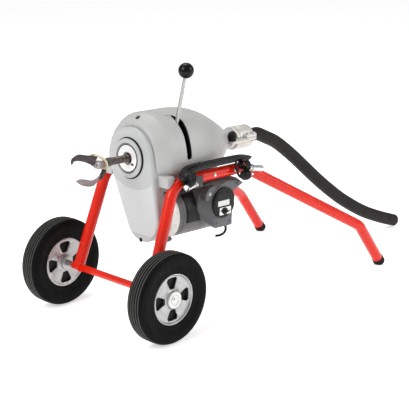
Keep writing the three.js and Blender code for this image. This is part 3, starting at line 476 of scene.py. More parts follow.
        # inner web of the same pattern, and a black disc between the two webs as painted shade in the rim's hollow
        inner = [(19.4, -12.6), (29, -13.0), (44, -13.4), (60, -14.6), (66.3, -16.6), (66.3, -21.2), (64.5, -19.8), (60, -18.6), (44, -17.8), (29, -17.4), (22, -18.4), (19.4, -20.4)]
        v, f = lathe_data([(r_, cy + sy * a_) for r_, a_ in inner], 112, "Y", (0, 127), closed=True)
        web2 = mesh("rim_inner_web_" + side, v, f, M_RIM, body, WORLD, [], 30, weld=0.002)
        cut = []
        for k in range(4):
            o = fillet([(28.8, -8.6), (53, -19.6), (60.0, -15.6), (61.2, 0), (60.0, 15.6), (53, 19.6), (28.8, 8.6)], [3.2, 5, 5, 20, 5, 5, 3.2], 5, True)
            a = math.pi / 2 * k
            o = [(x * math.cos(a) - z * math.sin(a), 127 + x * math.sin(a) + z * math.cos(a)) for x, z in o]
            y0, y1 = sorted((cy - sy * 5, cy - sy * 27))
            cut.append(tool(*prism_data(o, y0, y1, "Y"), M=WORLD))
        boolean(web2, cut, bevel=0.9, bevel_angle=50)
        v, f = lathe_data([(r_, cy + sy * a_) for r_, a_ in ((20.1, -8.6), (21, -9.2), (65.4, -9.2), (66.3, -8.6), (66.3, 7.6), (65.4, 8.2), (21, 8.2), (20.1, 7.6))], 96, "Y", (0, 127), closed=True)
        mesh("rim_shade_disc_" + side, v, f, M_SHADOW, body, WORLD, [], 30, weld=0.002)
        v, f = lathe_data([(r_, cy + sy * a_) for r_, a_ in ((14.4, 28.3), (14.4, 29.5), (15.4, 30.5), (17.6, 30.9), (18.0, 30.3), (19.2, 30.3), (19.6, 30.8), (21.6, 30.3), (22.8, 29.2), (23.0, 28.3))], 96, "Y", (0, 127), closed=True)
        mesh("hub_ring_" + side, v, f, M_HUB, body, WORLD, [], 24, weld=0.002)
        # raised bead ring round the windows, and the axle cap
        lathe("rim_bead_" + side, fillet([(61.6, 18.2), (62.6, 19.6), (63.6, 19.0)], 0.5, 3) + [(62.6, 18.0)], M_RIM, body, "Y", (0, 127), 96, closed=True, M=WORLD @ Matrix.Translation((0, cy * MM, 0)) @ Matrix.Scale(sy, 4, (0, 1, 0)))
        lathe("axle_cap_dome_" + side, [(0, 33.9), (4.5, 33.7), (7.6, 32.6), (9, 31.2), (9.4, 30.4), (12.4, 30.2), (13, 29.7), (13, 29.2), (0, 29.2)], M_ZINC, "frame", "Y", (0, 127), 48,
              M=WORLD @ Matrix.Translation((0, cy * MM, 0)) @ Matrix.Scale(sy, 4, (0, 1, 0)), reps=["axle_cap_" + side])


# ------------------------------------------------------------------ power head
D2, MY, MH = math.degrees, -58.0, -160.0
MOTOR = (MY, MH)

def pear(inset=0.0, n1=56, n2=40, c2=(-56.0, -164.0), r1=86.0, r2=64.5):
    d = math.hypot(*c2); phi = math.atan2(c2[1], c2[0]); beta = math.acos((r1 - r2) / d)
    a = [(math.cos(phi + beta + (2 * math.pi - 2 * beta) * i / n1) * (r1 - inset), math.sin(phi + beta + (2 * math.pi - 2 * beta) * i / n1) * (r1 - inset)) for i in range(n1 + 1)]
    b = [(c2[0] + math.cos(phi - beta + 2 * beta * i / n2) * (r2 - inset), c2[1] + math.sin(phi - beta + 2 * beta * i / n2) * (r2 - inset)) for i in range(n2 + 1)]
    return a + b

def loft(rings, cap0=True, cap1=True, closed=False):
    V_, F_, R = [], [], []
    for r in rings: R.append(list(range(len(V_), len(V_) + len(r)))); V_ += r
    for a, b in list(zip(R, R[1:])) + ([(R[-1], R[0])] if closed else []):
        m = len(a)
        for k in range(m): F_.append([a[k], a[(k + 1) % m], b[(k + 1) % m], b[k]])
    if cap0 and not closed: F_.append(list(reversed(R[0])))
    if cap1 and not closed: F_.append(R[-1])
    return V_, F_

def cyl(r, s0, s1, seg=96, c=(0, 0), axis="X"):
    return lathe_data([(0, s0), (r, s0), (r, s1), (0, s1)], seg, axis, c)

def scene_part_2():
    # ---- belt guard: deep drawn pear shell with a rounded front edge and a flanged back edge
    rings = [(9.0, 74.0), (6.5, 74.05), (4.4, 74.5), (2.6, 75.6), (1.2, 77.4), (0.35, 79.8), (0.0, 83.0), (0.0, 90.0), (0.0, 98.0), (0.0, 105.4), (0.5, 106.2), (2.0, 106.3), (2.6, 105.6), (2.8, 98.0), (2.8, 84.0), (3.6, 80.5), (5.6, 78.4), (9.0, 77.4)]
    v, f = loft([[(s, y, h) for y, h in pear(i)] for i, s in rings])
    g = mesh("guard_shell", v, f, M_GUARD, "frame", HEAD, ["belt_guard"], 24)
    boolean(g, [tool(*cyl(40.2, 60, 90))], smooth=24)
    lathe("guard_collar", [(40.3, 74.6), (40.3, 66.6), (41.0, 66.0), (50.2, 66.0), (53.2, 66.5), (55.0, 68.2), (55.5, 70.2), (55.5, 73.0), (56.4, 73.9), (57.6, 74.3), (57.6, 74.6)], M_GUARD, "frame", seg=120, closed=True, smooth=24)
    lathe("guard_collar_shadow", [(55.45, 69.4), (55.9, 69.6), (56.2, 73.2), (57.2, 73.75), (58.6, 73.8), (58.6, 74.3), (55.45, 74.3)], M_SHADOW, "frame", seg=120, closed=True, smooth=24)
    # thin black ring on the collar's front face: painted shade of a groove
    lathe("guard_collar_groove_shade", [(41.6, 66.15), (41.6, 65.7), (43.0, 65.7), (43.0, 66.15)], M_SHADOW, "frame", seg=96, closed=True)
    # blank label sheet on the lower lobe, straight across the bottom
    edge = pear(6.6, 120, 120)
    def span(h):
        ys = []
        for (y0, h0), (y1, h1) in zip(edge, edge[1:] + edge[:1]):
            if (h0 - h) * (h1 - h) <= 0 and abs(h1 - h0) > 1e-9: ys.append(y0 + (y1 - y0) * (h - h0) / (h1 - h0))
        return min(ys), max(ys)
    hs = [-60 - 6.0 * k for k in range(25)] + [-206.0]
    a0, a1 = span(-60.0)
    outline = [(span(h)[1], h) for h in hs] + [(span(h)[0], h) for h in reversed(hs)]
    t0, t1 = math.atan2(-60.0, a0), math.atan2(-60.0, a1)
    r0, r1 = math.hypot(a0, 60), math.hypot(a1, 60)
    outline += [((r0 + (r1 - r0) * k / 16 - 14 * math.sin(math.pi * k / 16)) * math.cos(t0 + (t1 - t0) * k / 16), (r0 + (r1 - r0) * k / 16 - 14 * math.sin(math.pi * k / 16)) * math.sin(t0 + (t1 - t0) * k / 16)) for k in range(1, 16)]
    outline = fillet(outline, [0] * (len(hs) - 1) + [3, 3] + [0] * (len(hs) - 1 + 15), 4, True)
    prism("guard_label_blank", [(y, h) for y, h in outline], 73.55, 74.02, M_LABEL, "frame", "X", bevel=0.12, seg=1, smooth=40)
    for k, (y, h) in enumerate(((-53.0, -222.5), (71.0, 30.0), (-71.0, 30.0))):
        v, f = lathe_data([(0, 71.6), (1.0, 71.6), (1.6, 71.9), (3.4, 71.9), (4.6, 72.6), (4.9, 73.6), (6.2, 73.7), (6.2, 74.2), (0, 74.2)], 32, "X", (y, h))
        if k == 0: mesh("guard_screw", v, f, M_BLACK, "frame", HEAD)
    # ---- hub plate with a key slot, turning with the spindle
    v, f = lathe_data(fillet([(17.6, 75.0), (17.6, 67.2), (19.6, 67.0), (20.0, 66.9), (36.4, 66.9), (38.6, 68.2), (38.9, 75.0)], [0, 0.5, 0.2, 0.2, 0.8, 0.8, 0], 3), 112, "X")
    v, f = lathe_data([(17.6, 75.0), (17.6, 68.2), (18.6, 67.1), (36.8, 67.1), (38.2, 67.7), (38.8, 69.0), (38.8, 75.0)], 112, "X", closed=True)
    hub = mesh("hub_plate_skin", v, f, M_HUB, "spindle", HEAD, ["front_hub_plate"], 26)
    key = fillet([(-26.4, -17.4), (-14.0, -17.4), (-14.0, -10.8), (-26.4, -10.8)], 2.2, 5, True)
    q = math.radians(30)
    boolean(hub, [tool(*prism_data(key, 60, 72.5, "X"))], smooth=26)
    prism("hub_key_shadow", fillet([(-26.2, -17.2), (-14.2, -17.2), (-14.2, -11.0), (-26.2, -11.0)], 2.0, 5, True), 69.2, 72.2, M_SHADOW, "spindle", "X")
    lathe("hub_ring", [(37.0, 67.25), (38.0, 66.85), (39.0, 67.4), (39.0, 68.2), (38.0, 68.4)], M_SHADOW, "spindle", seg=96, closed=True)
    # ---- drum: two castings faired into one painted shell, cone in front and dome behind
    prof = smooth_line([(122.0, 206), (121.9, 216), (121.2, 240), (116, 280), (104, 320), (85, 360), (62, 400)], 6)
    outer = [(0, 89.5), (94.6, 89.5), (96.4, 89.8), (98.2, 90.6), (100.0, 92.2), (104.0, 96.8), (108.0, 101.6), (112.0, 107.2), (115.4, 112.4), (118.0, 116.8), (119.8, 120.2), (121.0, 123.6), (121.7, 127.0), (122.0, 131.0), (122.0, 150.0), (122.0, 170.0), (122.0, 190.0)] + prof[:-1] + [(61.6, 400.6), (55.5, 410.0), (50.5, 416.6), (47.6, 421.0), (45.6, 423.6), (43.6, 424.0), (0, 424.0)]
    d = mesh("drum_skin", *lathe_data(outer, 144, "X"), M_GREY, "frame", HEAD, ["drum_front", "drum_rear"], 22)
    void = tool(*lathe_data([(0, 113.5), (111, 113.5), (116, 124), (116.4, 216), (115, 240), (110, 278), (98, 316), (79, 354), (58, 389), (0, 389)], 144, "X"))
    boolean(void, [tool(*cyl(80.5, 107.4, 480, c=MOTOR)), tool(*cyl(46, 100, 126)), tool(*cyl(46, 376, 430))])
    front_cut = tool(*lathe_data([(0, 80), (87, 80), (87, 98), (90, 106.7), (0, 106.7)], 120, "X"))
    room = tool(*cyl(75, 100, 480, c=MOTOR, seg=112))
    grd = tool(*prism_data(pear(-0.6), 60, 106.55, "X"))
    # lever slot with rounded ends, the top end drifting rearwards
    EDGES = [(86, 179.6, 196.8), (80, 179.3, 196.7), (74, 179.6, 197.2), (68, 180.3, 198.1), (62, 181.5, 199.7), (56, 182.5, 201.5), (50, 183, 203.4), (44, 183.2, 205.2), (38, 183.2, 206), (33, 183.2, 204.8), (30, 183.3, 202.2), (28, 183.5, 198.4), (26, 183.4, 195.2), (24.4, 183.4, 192.6)]
    def slot_solid(grow, r0, r1):
        C = catmull([(a * 2.13, (s0 + s1) / 2, (s1 - s0) / 2) for a, s0, s1 in EDGES], 3)   # unrolled at R122: arc length, centre, half width
        P = [Vector((c.x, c.y, 0)) for c in C]; H = [c.z + grow for c in C]
        L_, R_ = [], []
        n = len(P)
        for i, p in enumerate(P):
            L_.append(p + Vector((0, H[i], 0))); R_.append(p - Vector((0, H[i], 0)))
        def cap(c, hw, way):      # round end, sagging along the arc by the half width
            return [c + Vector((way * (hw * 0.9) * math.sin(math.pi * k / 8), hw * math.cos(math.pi * k / 8) * (1 if way < 0 else -1) * -1, 0)) for k in range(1, 8)]
        end_, start_ = cap(P[-1], H[-1], -1), cap(P[0], H[0], 1)
        end_ = sorted(end_, key=lambda q: -q.y); start_ = sorted(start_, key=lambda q: q.y)
        loop = L_ + end_ + list(reversed(R_)) + start_
        def ring_(r):
            o = []
            for p in loop:
                a = math.radians(p.x / 2.13); o.append((p.y, -math.sin(a) * r, math.cos(a) * r))
            return o
        inner, outer_ = ring_(r0), ring_(r1)
        n = len(loop); V_ = inner + outer_; F_ = [[i, (i + 1) % n, n + (i + 1) % n, n + i] for i in range(n)]
        # caps as quads across the slot, since the outline bends round the drum
        m = len(P)
        def cap_faces(o):
            fs = []
            Lr = list(range(0, m)); Rr = list(range(m + 7, m + 7 + m))[::-1]
            for i in range(m - 1): fs.append([o + Lr[i], o + Lr[i + 1], o + Rr[i + 1], o + Rr[i]])
            fs.append([o + m - 1] + [o + m + k for k in range(7)] + [o + Rr[m - 1]])
            fs.append([o + Rr[0]] + [o + m + 7 + m + k for k in range(7)] + [o + Lr[0]])
            return fs
        return V_, F_ + cap_faces(0) + cap_faces(n)
    slot = tool(*slot_solid(0.1, 100, 135))
    lip = tool(*slot_solid(0.9, 121.4, 134))
    OIL = HEAD @ Matrix.Translation((0.108, 0.0, 0.1065)) @ Matrix.Rotation(math.radians(-48), 4, "Y")
    oil = tool(*lathe_data([(0, -8), (7.0, -8), (7.0, 30), (0, 30)], 36, "Z"), M=OIL)
    boolean(d, [front_cut, grd, void, room, tool(*cyl(38.4, 90, 130)), tool(*cyl(38.4, 360, 400.2)), tool(*cyl(30.8, 390, 430)), slot, lip, oil], smooth=22)
    # black sheet on the slot wall and black plug in the oil hole as painted shade, and the casting line at the slot's
    # upper end
    rows = [slot_solid(g, r, 130)[0] for g, r in ((0.7, 116.4), (0.7, 121.3), (-0.1, 121.5), (-0.1, 116.4))]
    m_ = len(rows[0]) // 2; rows = [v_[:m_] for v_ in rows]
    v, f = loft(rows, closed=True); mesh("slot_wall_painted_shade", v, f, M_SHADOW, "frame", HEAD, smooth=40)
    v, f = lathe_data([(0, -7.6), (6.9, -7.6), (6.9, -1.0), (6.4, -1.0), (6.4, -3.2), (0, -3.2)], 36, "Z"); mesh("oil_hole_painted_shade", v, f, M_SHADOW, "frame", OIL)
    v, f = lathe_data([(7.0, -1.2), (8.4, -1.2), (8.4, 0.2), (8.0, 0.7), (7.4, 0.7), (7.0, 0.2)], 40, "Z", closed=True); mesh("oil_hole_rim", v, f, M_HUB, "frame", OIL)
    arc_line = [(s_, -121.75 * math.sin(math.radians(a_)), 121.75 * math.cos(math.radians(a_))) for s_, a_ in ((184.0, 22.6), (180.0, 21.4), (175.0, 20.6), (170.0, 20.4), (164.0, 20.8))]
    sweep("casting_line", catmull(arc_line, 5), 0.55, M_SHADOW, "frame", 8)
    # rear nozzle
    lathe("nozzle_skin", [(17.2, 404.2), (30.4, 404.2), (30.4, 424.0), (31.6, 424.4), (33.0, 426.0), (33.0, 428.6), (31.4, 430.2), (30.4, 431.0), (30.4, 470.0), (30.4, 517.0), (29.6, 517.8), (18.0, 517.8), (17.2, 517.0)], M_GREY, "frame", seg=96, closed=True, reps=["rear_nozzle"], smooth=24)
    # ---- cable: wound wire over a dark core
    W, RC, P_, S0 = 2.15, 8.8, 4.55, 6.6
    turns = 50; per = 20
    hel = [(S0 + 2.2 + P_ * i / per, RC * math.cos(2 * math.pi * i / per), RC * math.sin(2 * math.pi * i / per)) for i in range(turns * per + 1)]
    sweep("cable_coil", hel, W, M_COIL, "cable", 8, reps=["cable"])
    lathe("cable_core", [(0, 6.6), (7.4, 6.6), (7.6, 238), (10.9, 240), (10.9, 470), (0, 470)], M_CORE, "cable", seg=40)
    lathe("coupling_sleeve", fillet([(0, -8.7), (6.0, -8.7), (9.4, -8.4), (11.4, -6.9), (12.2, -4.6), (12.2, 1.0), (11.2, 1.6), (11.2, 3.0), (12.0, 3.6), (11.8, 5.6), (10.6, 6.6), (0, 6.6)], 0.4, 2), M_CAST, "cable", seg=64, reps=["cable_coupling"])
    # ---- cutter
    lower_edge = [(-133.2, 11), (-128, 15.6), (-123.3, 18), (-114, 18), (-103.4, 16), (-94, 13.4), (-85.9, 10.5), (-77, 6.4), (-68.2, 2), (-62, -1.8), (-58, -4)]
    upper_edge = [(-49, 9), (-42, 20), (-50.5, 24.6), (-59.5, 27), (-73.5, 28.2), (-82, 30.2), (-91.1, 32.2), (-98.6, 34.4), (-106, 35.3), (-113, 34.8), (-118.4, 33.2), (-125.4, 30.2), (-131.4, 25.9), (-133.6, 18.6)]
    sm = smooth_line(lower_edge, 5); teeth, acc = [], 0.0
    for i, p in enumerate(sm):
        if i: acc += math.dist(sm[i - 1], p)
        teeth.append((p[0], p[1], acc))
    tot = teeth[-1][2]
    def at(d_):
        for a, b in zip(teeth, teeth[1:]):
            if a[2] <= d_ <= b[2]:
                t = (d_ - a[2]) / max(1e-9, b[2] - a[2]); q = Vector((b[0] - a[0], b[1] - a[1])).normalized()
                return Vector((a[0] + (b[0] - a[0]) * t, a[1] + (b[1] - a[1]) * t)), Vector((-q.y, q.x))
        return Vector(teeth[-1][:2]), Vector((0, 1))
    line = [tuple(sm[0])]
    k = 9.0
    while k < tot - 12:
        p, nn = at(k); line.append((p.x, p.y)); p, nn = at(k + 0.6); line.append((p.x + nn.x * 2.6, p.y + nn.y * 2.6)); k += 4.4
    line += [tuple(p) for p in sm[-4:]]
    prism("cutter_upper_arm", line + smooth_line(upper_edge, 4), -2.3, 2.3, M_BLADE, "cable", "Y", bevel=0.35, seg=1, reps=["cutter_blade"], smooth=25, bevel_angle=60)
    low_in = [(-116.8, -36.6), (-110, -33.4), (-103.1, -32.6), (-90, -34.6), (-78, -37.6), (-66, -41.4), (-58.9, -42.2), (-50, -40.6), (-42.4, -38.4), (-36, -34.4), (-32, -31.5)]
    low_out = [(-27.5, -40), (-36, -46.6), (-46.1, -52.6), (-52, -56.4), (-57.5, -58.4), (-64, -58.8), (-71.5, -58.2), (-81, -56.4), (-90.4, -53.5), (-99, -49.4), (-108, -43.6)]
    prism("cutter_lower_arm", smooth_line(low_in, 4) + smooth_line(low_out, 4), -2.2, 2.2, M_LOWARM, "cable", "Y", bevel=0.8, seg=2, smooth=25, bevel_angle=50)
    so = smooth_line([(-60.5, 31.5), (-47, 27.8), (-34, 22), (-25, 16.6), (-17.0, 10), (-11.6, 2.6), (-9.2, -4.7), (-10.2, -12.6), (-12.8, -20)], 4)
    si = smooth_line([(-18, -19), (-15.4, -12.4), (-14.6, -5.2), (-16.4, 0.6), (-21.5, 6.6), (-29, 12), (-37, 16.5), (-47, 21.8), (-58.6, 26)], 4)
    prism("cutter_strap_upper", so + si, -8.5, 8.5, M_STRAP, "cable", "Y", bevel=0.9, seg=2, smooth=25, bevel_angle=50)
    so = smooth_line([(-12.4, -18.5), (-16.6, -27), (-22, -34.6), (-27.4, -40), (-33.4, -44.6)], 4)
    si = smooth_line([(-37, -40.4), (-31, -36), (-26.4, -31.4), (-21.6, -25), (-17.8, -17.6)], 4)
    prism("cutter_strap_lower", so + si, -7.5, 7.5, M_BLADE, "cable", "Y", bevel=0.9, seg=2, smooth=25, bevel_angle=50)
    prism("cutter_spade", fillet([(-15, -12), (-15, 3), (-30, 8), (-41, 10), (-51, 5), (-54, -2), (-53, -9), (-47, -13), (-36, -15.5)], 3.5, 4, True), -2.6, 2.6, M_LOWARM, "cable", "Y", bevel=0.8, seg=2, smooth=25, bevel_angle=50)
    prism("cutter_bolt_head", hexagon((-42.7, -4.7), 8.0, 0.3), -8.6, -3.6, M_STEEL, "cable", "Y", bevel=0.8, seg=2, reps=["cutter_bolt"])
    v, f = lathe_data([(0, -3.8), (9.6, -3.8), (9.8, -3.4), (9.8, -2.7), (0, -2.7)], 40, "Y", (-42.7, -4.7)); mesh("cutter_washer", v, f, M_ZINC, "cable")
    v, f = lathe_data([(0, -9.2), (3.4, -9.2), (4.0, -8.6), (4.4, -2), (4.4, 8.4), (3.8, 9.2), (0, 9.2)], 32, "Y", (-42.7, -4.7)); mesh("cutter_bolt_shank", v, f, M_STEEL, "cable")
    prism("cutter_nut", hexagon((-42.7, -4.7), 7.4, 0.1), 3.0, 7.4, M_STEEL, "cable", "Y", bevel=0.7, seg=2)

    # ---- clutch lever: tapered rod and ball
    a = math.radians(11.94); foot = Vector((189.2, -45.6 * math.cos(a), -45.6 * math.sin(a)))
    LEV = HEAD @ Matrix.Translation(foot * MM) @ Matrix.Rotation(a, 4, "X")
    lathe("lever_rod_skin", [(0, -8), (5.2, -8), (6.0, -7.2), (6.0, 30), (5.8, 100), (5.6, 118), (5.55, 124), (5.2, 170), (4.8, 220), (4.6, 241.6), (0, 241.6)], M_STEEL, "lever", "Z", seg=48, M=LEV, reps=["lever_rod"])
    ball = [(0, 238.3), (4.8, 238.3), (5.6, 237.9)] + [(21.75 * math.sin(t), 259.2 - 21.75 * math.cos(t)) for t in [math.pi * (0.09 + 0.91 * k / 40.0) for k in range(40)]] + [(0, 280.95)]
    lathe("lever_ball_skin", ball, M_GLOSS, "lever", "Z", seg=80, M=LEV, reps=["lever_ball"], smooth=50)

    # ---- brackets between the drum and the side rails
    drum_clear = [(0, 80), (97.2, 80), (97.2, 89), (100.7, 91.6), (110.6, 103.6), (119.6, 117.6), (122.2, 123), (122.4, 130), (122.4, 212), (121.7, 241), (116.6, 281), (104.6, 321), (85.6, 361), (62.6, 401), (0, 401)]
    for name, sy, s0, s1, h0, h1, y0 in [("front_left", 1, 92, 118, -66, -34, 90), ("front_right", -1, 92, 118, -66, -34, 90), ("rear_left", 1, 214, 244, -70, -44, 96), ("rear_right", -1, 214, 244, -70, -44, 96)]:
        ya, yb = sorted((sy * y0, sy * 136))
        b = block("bracket_casting_" + name, (s0, ya, h0), (s1, yb, h1), M_GREY if "front" in name else M_BRACKET, "frame", 2.2, HEAD, ["bracket_" + name], 3)
        path = corners([(x, sy * y, z) for x, y, z in LEG], [62, 55, 60], 16)
        tube_cut = tool(*sweep_data(path, 16.5, 40), M=WORLD)
        boolean(b, [tool(*lathe_data(drum_clear, 96, "X")), tube_cut, tool(*prism_data(pear(-0.7), 60, 107, "X"))], smooth=30)
    # bolts through the rails into the brackets
    for sy in (-1, 1):
        for s_, h_ in ((262.0, -49.0), (345.0, -48.0)):
            v, f = lathe_data([(0, 153.2), (2.6, 153.0), (4.0, 152.2), (4.9, 151.0), (5.2, 149.4), (6.4, 149.2), (6.4, 148.2), (0, 148.2)], 6 if False else 32, "Y", (s_, h_))
            v = [(x, sy * y, z) for x, y, z in v]
            mesh("rail_bolt_%s_%d" % ("left" if sy > 0 else "right", int(s_)), v, f, M_ZINC, "frame")

    # ---- motor
    lathe("motor_front_bell_skin", [(8.5, 112.2), (22, 112.2), (23, 111.2), (34, 111.2), (35.5, 112.2), (54, 112.2), (60, 112.6), (64.4, 113.8), (67.6, 116.0), (69.6, 119.0), (70.4, 123.0), (70.4, 146.6), (69.8, 149.8), (64.6, 149.8), (64.6, 118), (16, 118), (16, 130), (8.5, 130)], M_ALU, "frame", c=MOTOR, seg=112, closed=True, reps=["motor_front_bell"], smooth=24)
    lathe("motor_shell_skin", [(64.3, 150.4), (67.0, 150.4), (68.0, 151.4), (68.0, 166.0), (67.2, 167.0), (67.2, 168.6), (68.0, 169.6), (68.0, 243.0), (67.2, 244.0), (67.2, 245.6), (68.0, 246.6), (68.0, 261.8), (64.3, 261.8)], M_DARK, "frame", c=MOTOR, seg=112, closed=True, reps=["motor_shell"], smooth=24)
    rb = mesh("motor_rear_bell_skin", *lathe_data([(62.2, 262.4), (67.2, 262.4), (68.0, 263.4), (67.6, 290.0), (67.2, 318.0), (66.6, 328.0), (64.8, 335.6), (61.6, 341.0), (57.0, 344.4), (50.0, 346.2), (42.0, 347.4), (36.0, 348.2), (34.0, 349.8), (20.0, 349.9), (16.0, 349.9), (8.5, 349.9), (8.5, 334.2), (16, 334.2), (16, 343.6), (28, 343.6), (55.6, 337.6), (60.8, 327.6), (62.2, 320.0)], 112, "X", MOTOR, closed=True), M_DARK, "frame", HEAD, ["motor_rear_bell"], 24)
    vents = []
    for k in range(10):
        aa = 2 * math.pi * k / 10 + 0.2
        o = fillet([(38, -3.0), (54, -4.6), (54, 4.6), (38, 3.0)], 2.6, 4, True)
        vents.append(tool(*prism_data([(MY + x * math.cos(aa) - z * math.sin(aa), MH + x * math.sin(aa) + z * math.cos(aa)) for x, z in o], 332, 360, "X")))
    boolean(rb, vents, smooth=24)
    sa = lambda r, a0, a1, n: arc(MY, MH, r, a0, a1, n)
    prism("motor_side_plate_skin", fillet(sa(68.35, 124, 196, 26) + sa(71.1, 196, 124, 26), 0), 180, 240, M_BLACK, "frame", "X", bevel=0.7, reps=["motor_side_plate"], smooth=35, bevel_angle=50)
    prism("motor_hanger_skin", sa(70.95, -125, 0, 48) + [(MY + 70.95, -150), (MY + 70.95, -125), (MY + 74.9, -125), (MY + 74.9, -150)] + sa(74.9, 0, -125, 48), 124, 140, M_DARK, "frame", "X", bevel=0.8, reps=["motor_hanger"], smooth=35, bevel_angle=50)
    prism("hanger_clamp_lug", fillet([(-104, -214), (-96, -222), (-102, -229), (-110, -221)], 1.2, 3, True), 124, 140, M_DARK, "frame", "X", bevel=0.8, smooth=35, bevel_angle=50)

    # ---- switch housing: round draughted box over the side of the motor, cut off square behind the cover
    face = [(266, -203), (256, -195), (252, -172), (248, -150), (249, -128), (255, -108), (267, -90), (286, -77), (310, -71), (338, -72), (362, -79), (376, -88), (376, -203)]
    base = [(264, -199), (238, -185), (224, -168), (217, -148), (216.5, -128), (221, -109), (231, -91), (247, -77), (267, -69.5), (292, -67.5), (322, -67.4), (350, -69.5), (372, -76), (386, -86), (386, -199)]
    def inward(pts, g):
        q = []
        for s_, h_ in pts:
            d_ = math.hypot(s_ - 312, h_ + 140); q.append((312 + (s_ - 312) * (d_ - g) / d_, -140 + (h_ + 140) * (d_ - g) / d_))
        return q
    def hull_data(rows):
        """convex hull of flat outlines given as (y, [(s, h) ...])"""
        bm = bmesh.new()
        for y_, pts in rows:
            n_ = len(pts); rr = [9.0 if 1 <= i < n_ - 1 else 3.0 for i in range(n_)]
            for s_, h_ in fillet(pts, rr, 3, True): bm.verts.new((s_, y_, h_))
        o_ = bmesh.ops.convex_hull(bm, input=bm.verts[:])
        gone = [g_ for g_ in o_["geom_interior"] + o_["geom_unused"] if isinstance(g_, bmesh.types.BMVert)]
        if gone: bmesh.ops.delete(bm, geom=list(set(gone)), context="VERTS")
        bmesh.ops.dissolve_limit(bm, angle_limit=math.radians(0.6), verts=bm.verts[:], edges=bm.edges[:])
        bmesh.ops.recalc_face_normals(bm, faces=bm.faces[:])
        bm.verts.index_update(); V_ = [tuple(x.co) for x in bm.verts]; F_ = [[x.index for x in y.verts] for y in bm.faces]; bm.free()
        return V_, F_
    def corner(g):
        return tool(*prism_data([(331 - g, -105), (331 - g, -260), (420, -260), (420, -72), (400, -76 + g), (340, -100 + g)], -200, -40, "Y"))
    h = mesh("switch_housing_skin", *hull_data([(-155, inward(face, 2.0)), (-153, face), (-128, base), (-76, base)]), M_HOUSING, "frame", HEAD, ["switch_housing"], 26)
    rail = corners([(x, -y, z) for x, y, z in LEG], [62, 55, 60], 16)
    boolean(h, [corner(0)], smooth=26, bevel=1.6, bevel_angle=50)
    boolean(h, [tool(*hull_data([(-151, inward(face, 5)), (-127, inward(base, 5)), (-60, inward(base, 5))]))], smooth=26)
    boolean(h, [tool(*cyl(71.9, 100, 400, c=MOTOR)), tool(*lathe_data([(r + 0.3 if r else 0, s) for r, s in drum_clear], 96, "X")), tool(*sweep_data(rail, 16.4, 40), M=WORLD)], smooth=26)
    # raised lower panel, boss on the draughted wall and screws
    prism("housing_front_panel", fillet([(271, -199), (261, -192), (257, -178), (256, -168), (328, -168), (328, -199)], [2, 3, 3, 1, 1, 2], 3, True), -156.0, -154.6, M_HOUSING, "frame", "Y", bevel=0.6, seg=2, smooth=28, bevel_angle=40)
    prism("housing_boss", fillet([(225, -118), (226, -98), (238, -84), (258, -79), (268, -84), (262, -100), (250, -118)], 3.0, 4, True), -152.6, -126, M_HOUSING, "frame", "Y", bevel=2.0, seg=3, smooth=30, bevel_angle=40)
    v, f = lathe_data([(0, -154.6), (1.8, -154.6), (2.4, -153.9), (4.6, -153.9), (5.4, -153.0), (5.4, -152.2), (0, -152.2)], 28, "Y", (241, -100)); mesh("housing_boss_screw", v, f, M_STEEL, "frame")
    for k, (x, z) in enumerate(((350, -85), (321, -191), (270, -190))):
        v, f = lathe_data([(0, -157.9), (1.5, -157.9), (2.0, -157.3), (3.4, -157.3), (4.0, -156.5), (4.0, -154.6), (0, -154.6)], 28, "Y", (x, z)); mesh("housing_screw_%d" % k, v, f, M_DARK, "frame")
    # round cover with a stepped edge, blank label, switch plate and knob
    C = (291.5, -131)
    cov = lathe("switch_cover_skin", [(0, -155.5), (44, -155.5), (44, -159.6), (43.4, -161.0), (42, -162.0), (40.4, -162.4), (39.6, -161.9), (37.4, -161.9), (36.6, -162.9), (30, -163.0), (0, -163.0)], M_BLACK, "frame", "Y", C, seg=96, reps=["switch_cover"], smooth=28)
    boolean(cov, [tool(*prism_data([(330.8, -200), (345, -200), (345, -60), (330.8, -60)], -172, -150, "Y"))], smooth=28)
    prism("cover_label_blank", fillet([(264, -138.6), (309.5, -138.6), (309.5, -123.2), (264, -123.2)], 1.2, 3, True), -163.5, -162.9, M_WHITE, "frame", "Y", bevel=0.15, seg=1)
    for k, (x, z) in enumerate(((280, -102.5), (303, -102.5))):
        v, f = lathe_data([(0, -164.6), (1.2, -164.6), (1.8, -164.0), (3.0, -164.0), (3.5, -163.4), (3.5, -162.8), (0, -162.8)], 24, "Y", (x, z)); mesh("cover_screw_%d" % k, v, f, M_BLACK, "frame")
    prism("switch_plate_skin", fillet([(269.5, -164.5), (315.5, -164.5), (315.5, -142.5), (269.5, -142.5)], 2.4, 4, True), -165.0, -163.3, M_ZINC, "frame", "Y", bevel=0.4, seg=2, reps=["switch_plate"])
    for x in (273.5, 311.5):
        v, f = lathe_data([(0, -166.0), (1.2, -166.0), (2.4, -165.6), (2.7, -164.9), (0, -164.9)], 20, "Y", (x, -153.5)); mesh("plate_screw_%d" % int(x), v, f, M_STEEL, "frame")
    KC = (289.5, -153.5)
    lathe("switch_knob_base", [(0, -165.2), (10.0, -165.2), (10.2, -166.2), (9.8, -168.4), (8.2, -169.4), (0, -169.6)], M_BLACK, "switch", "Y", KC, seg=48, reps=["switch_knob"], smooth=30)
    prism("switch_knob_bar", fillet([(KC[0] - 9.6, KC[1] - 2.9), (KC[0] + 9.6, KC[1] - 1.6), (KC[0] + 9.6, KC[1] + 1.6), (KC[0] - 9.6, KC[1] + 2.9)], 1.4, 4, True), -176, -168.6, M_BLACK, "switch", "Y", bevel=0.8, seg=2, smooth=35)
    sweep("cord_loop_skin", catmull([(319, -140, -203.6), (321, -140, -210), (323, -140, -218), (318, -138, -229), (305, -133, -235), (295, -127, -236)], 8), 3.6, M_CORD, "frame", 20, reps=["cord_loop"], ends=0.8)
    lathe("cord_gland", [(0, -208.4), (5.0, -208.4), (6.2, -207.4), (6.6, -203.4), (0, -203.4)], M_BLACK, "frame", "Z", (319.6, -140), seg=32)

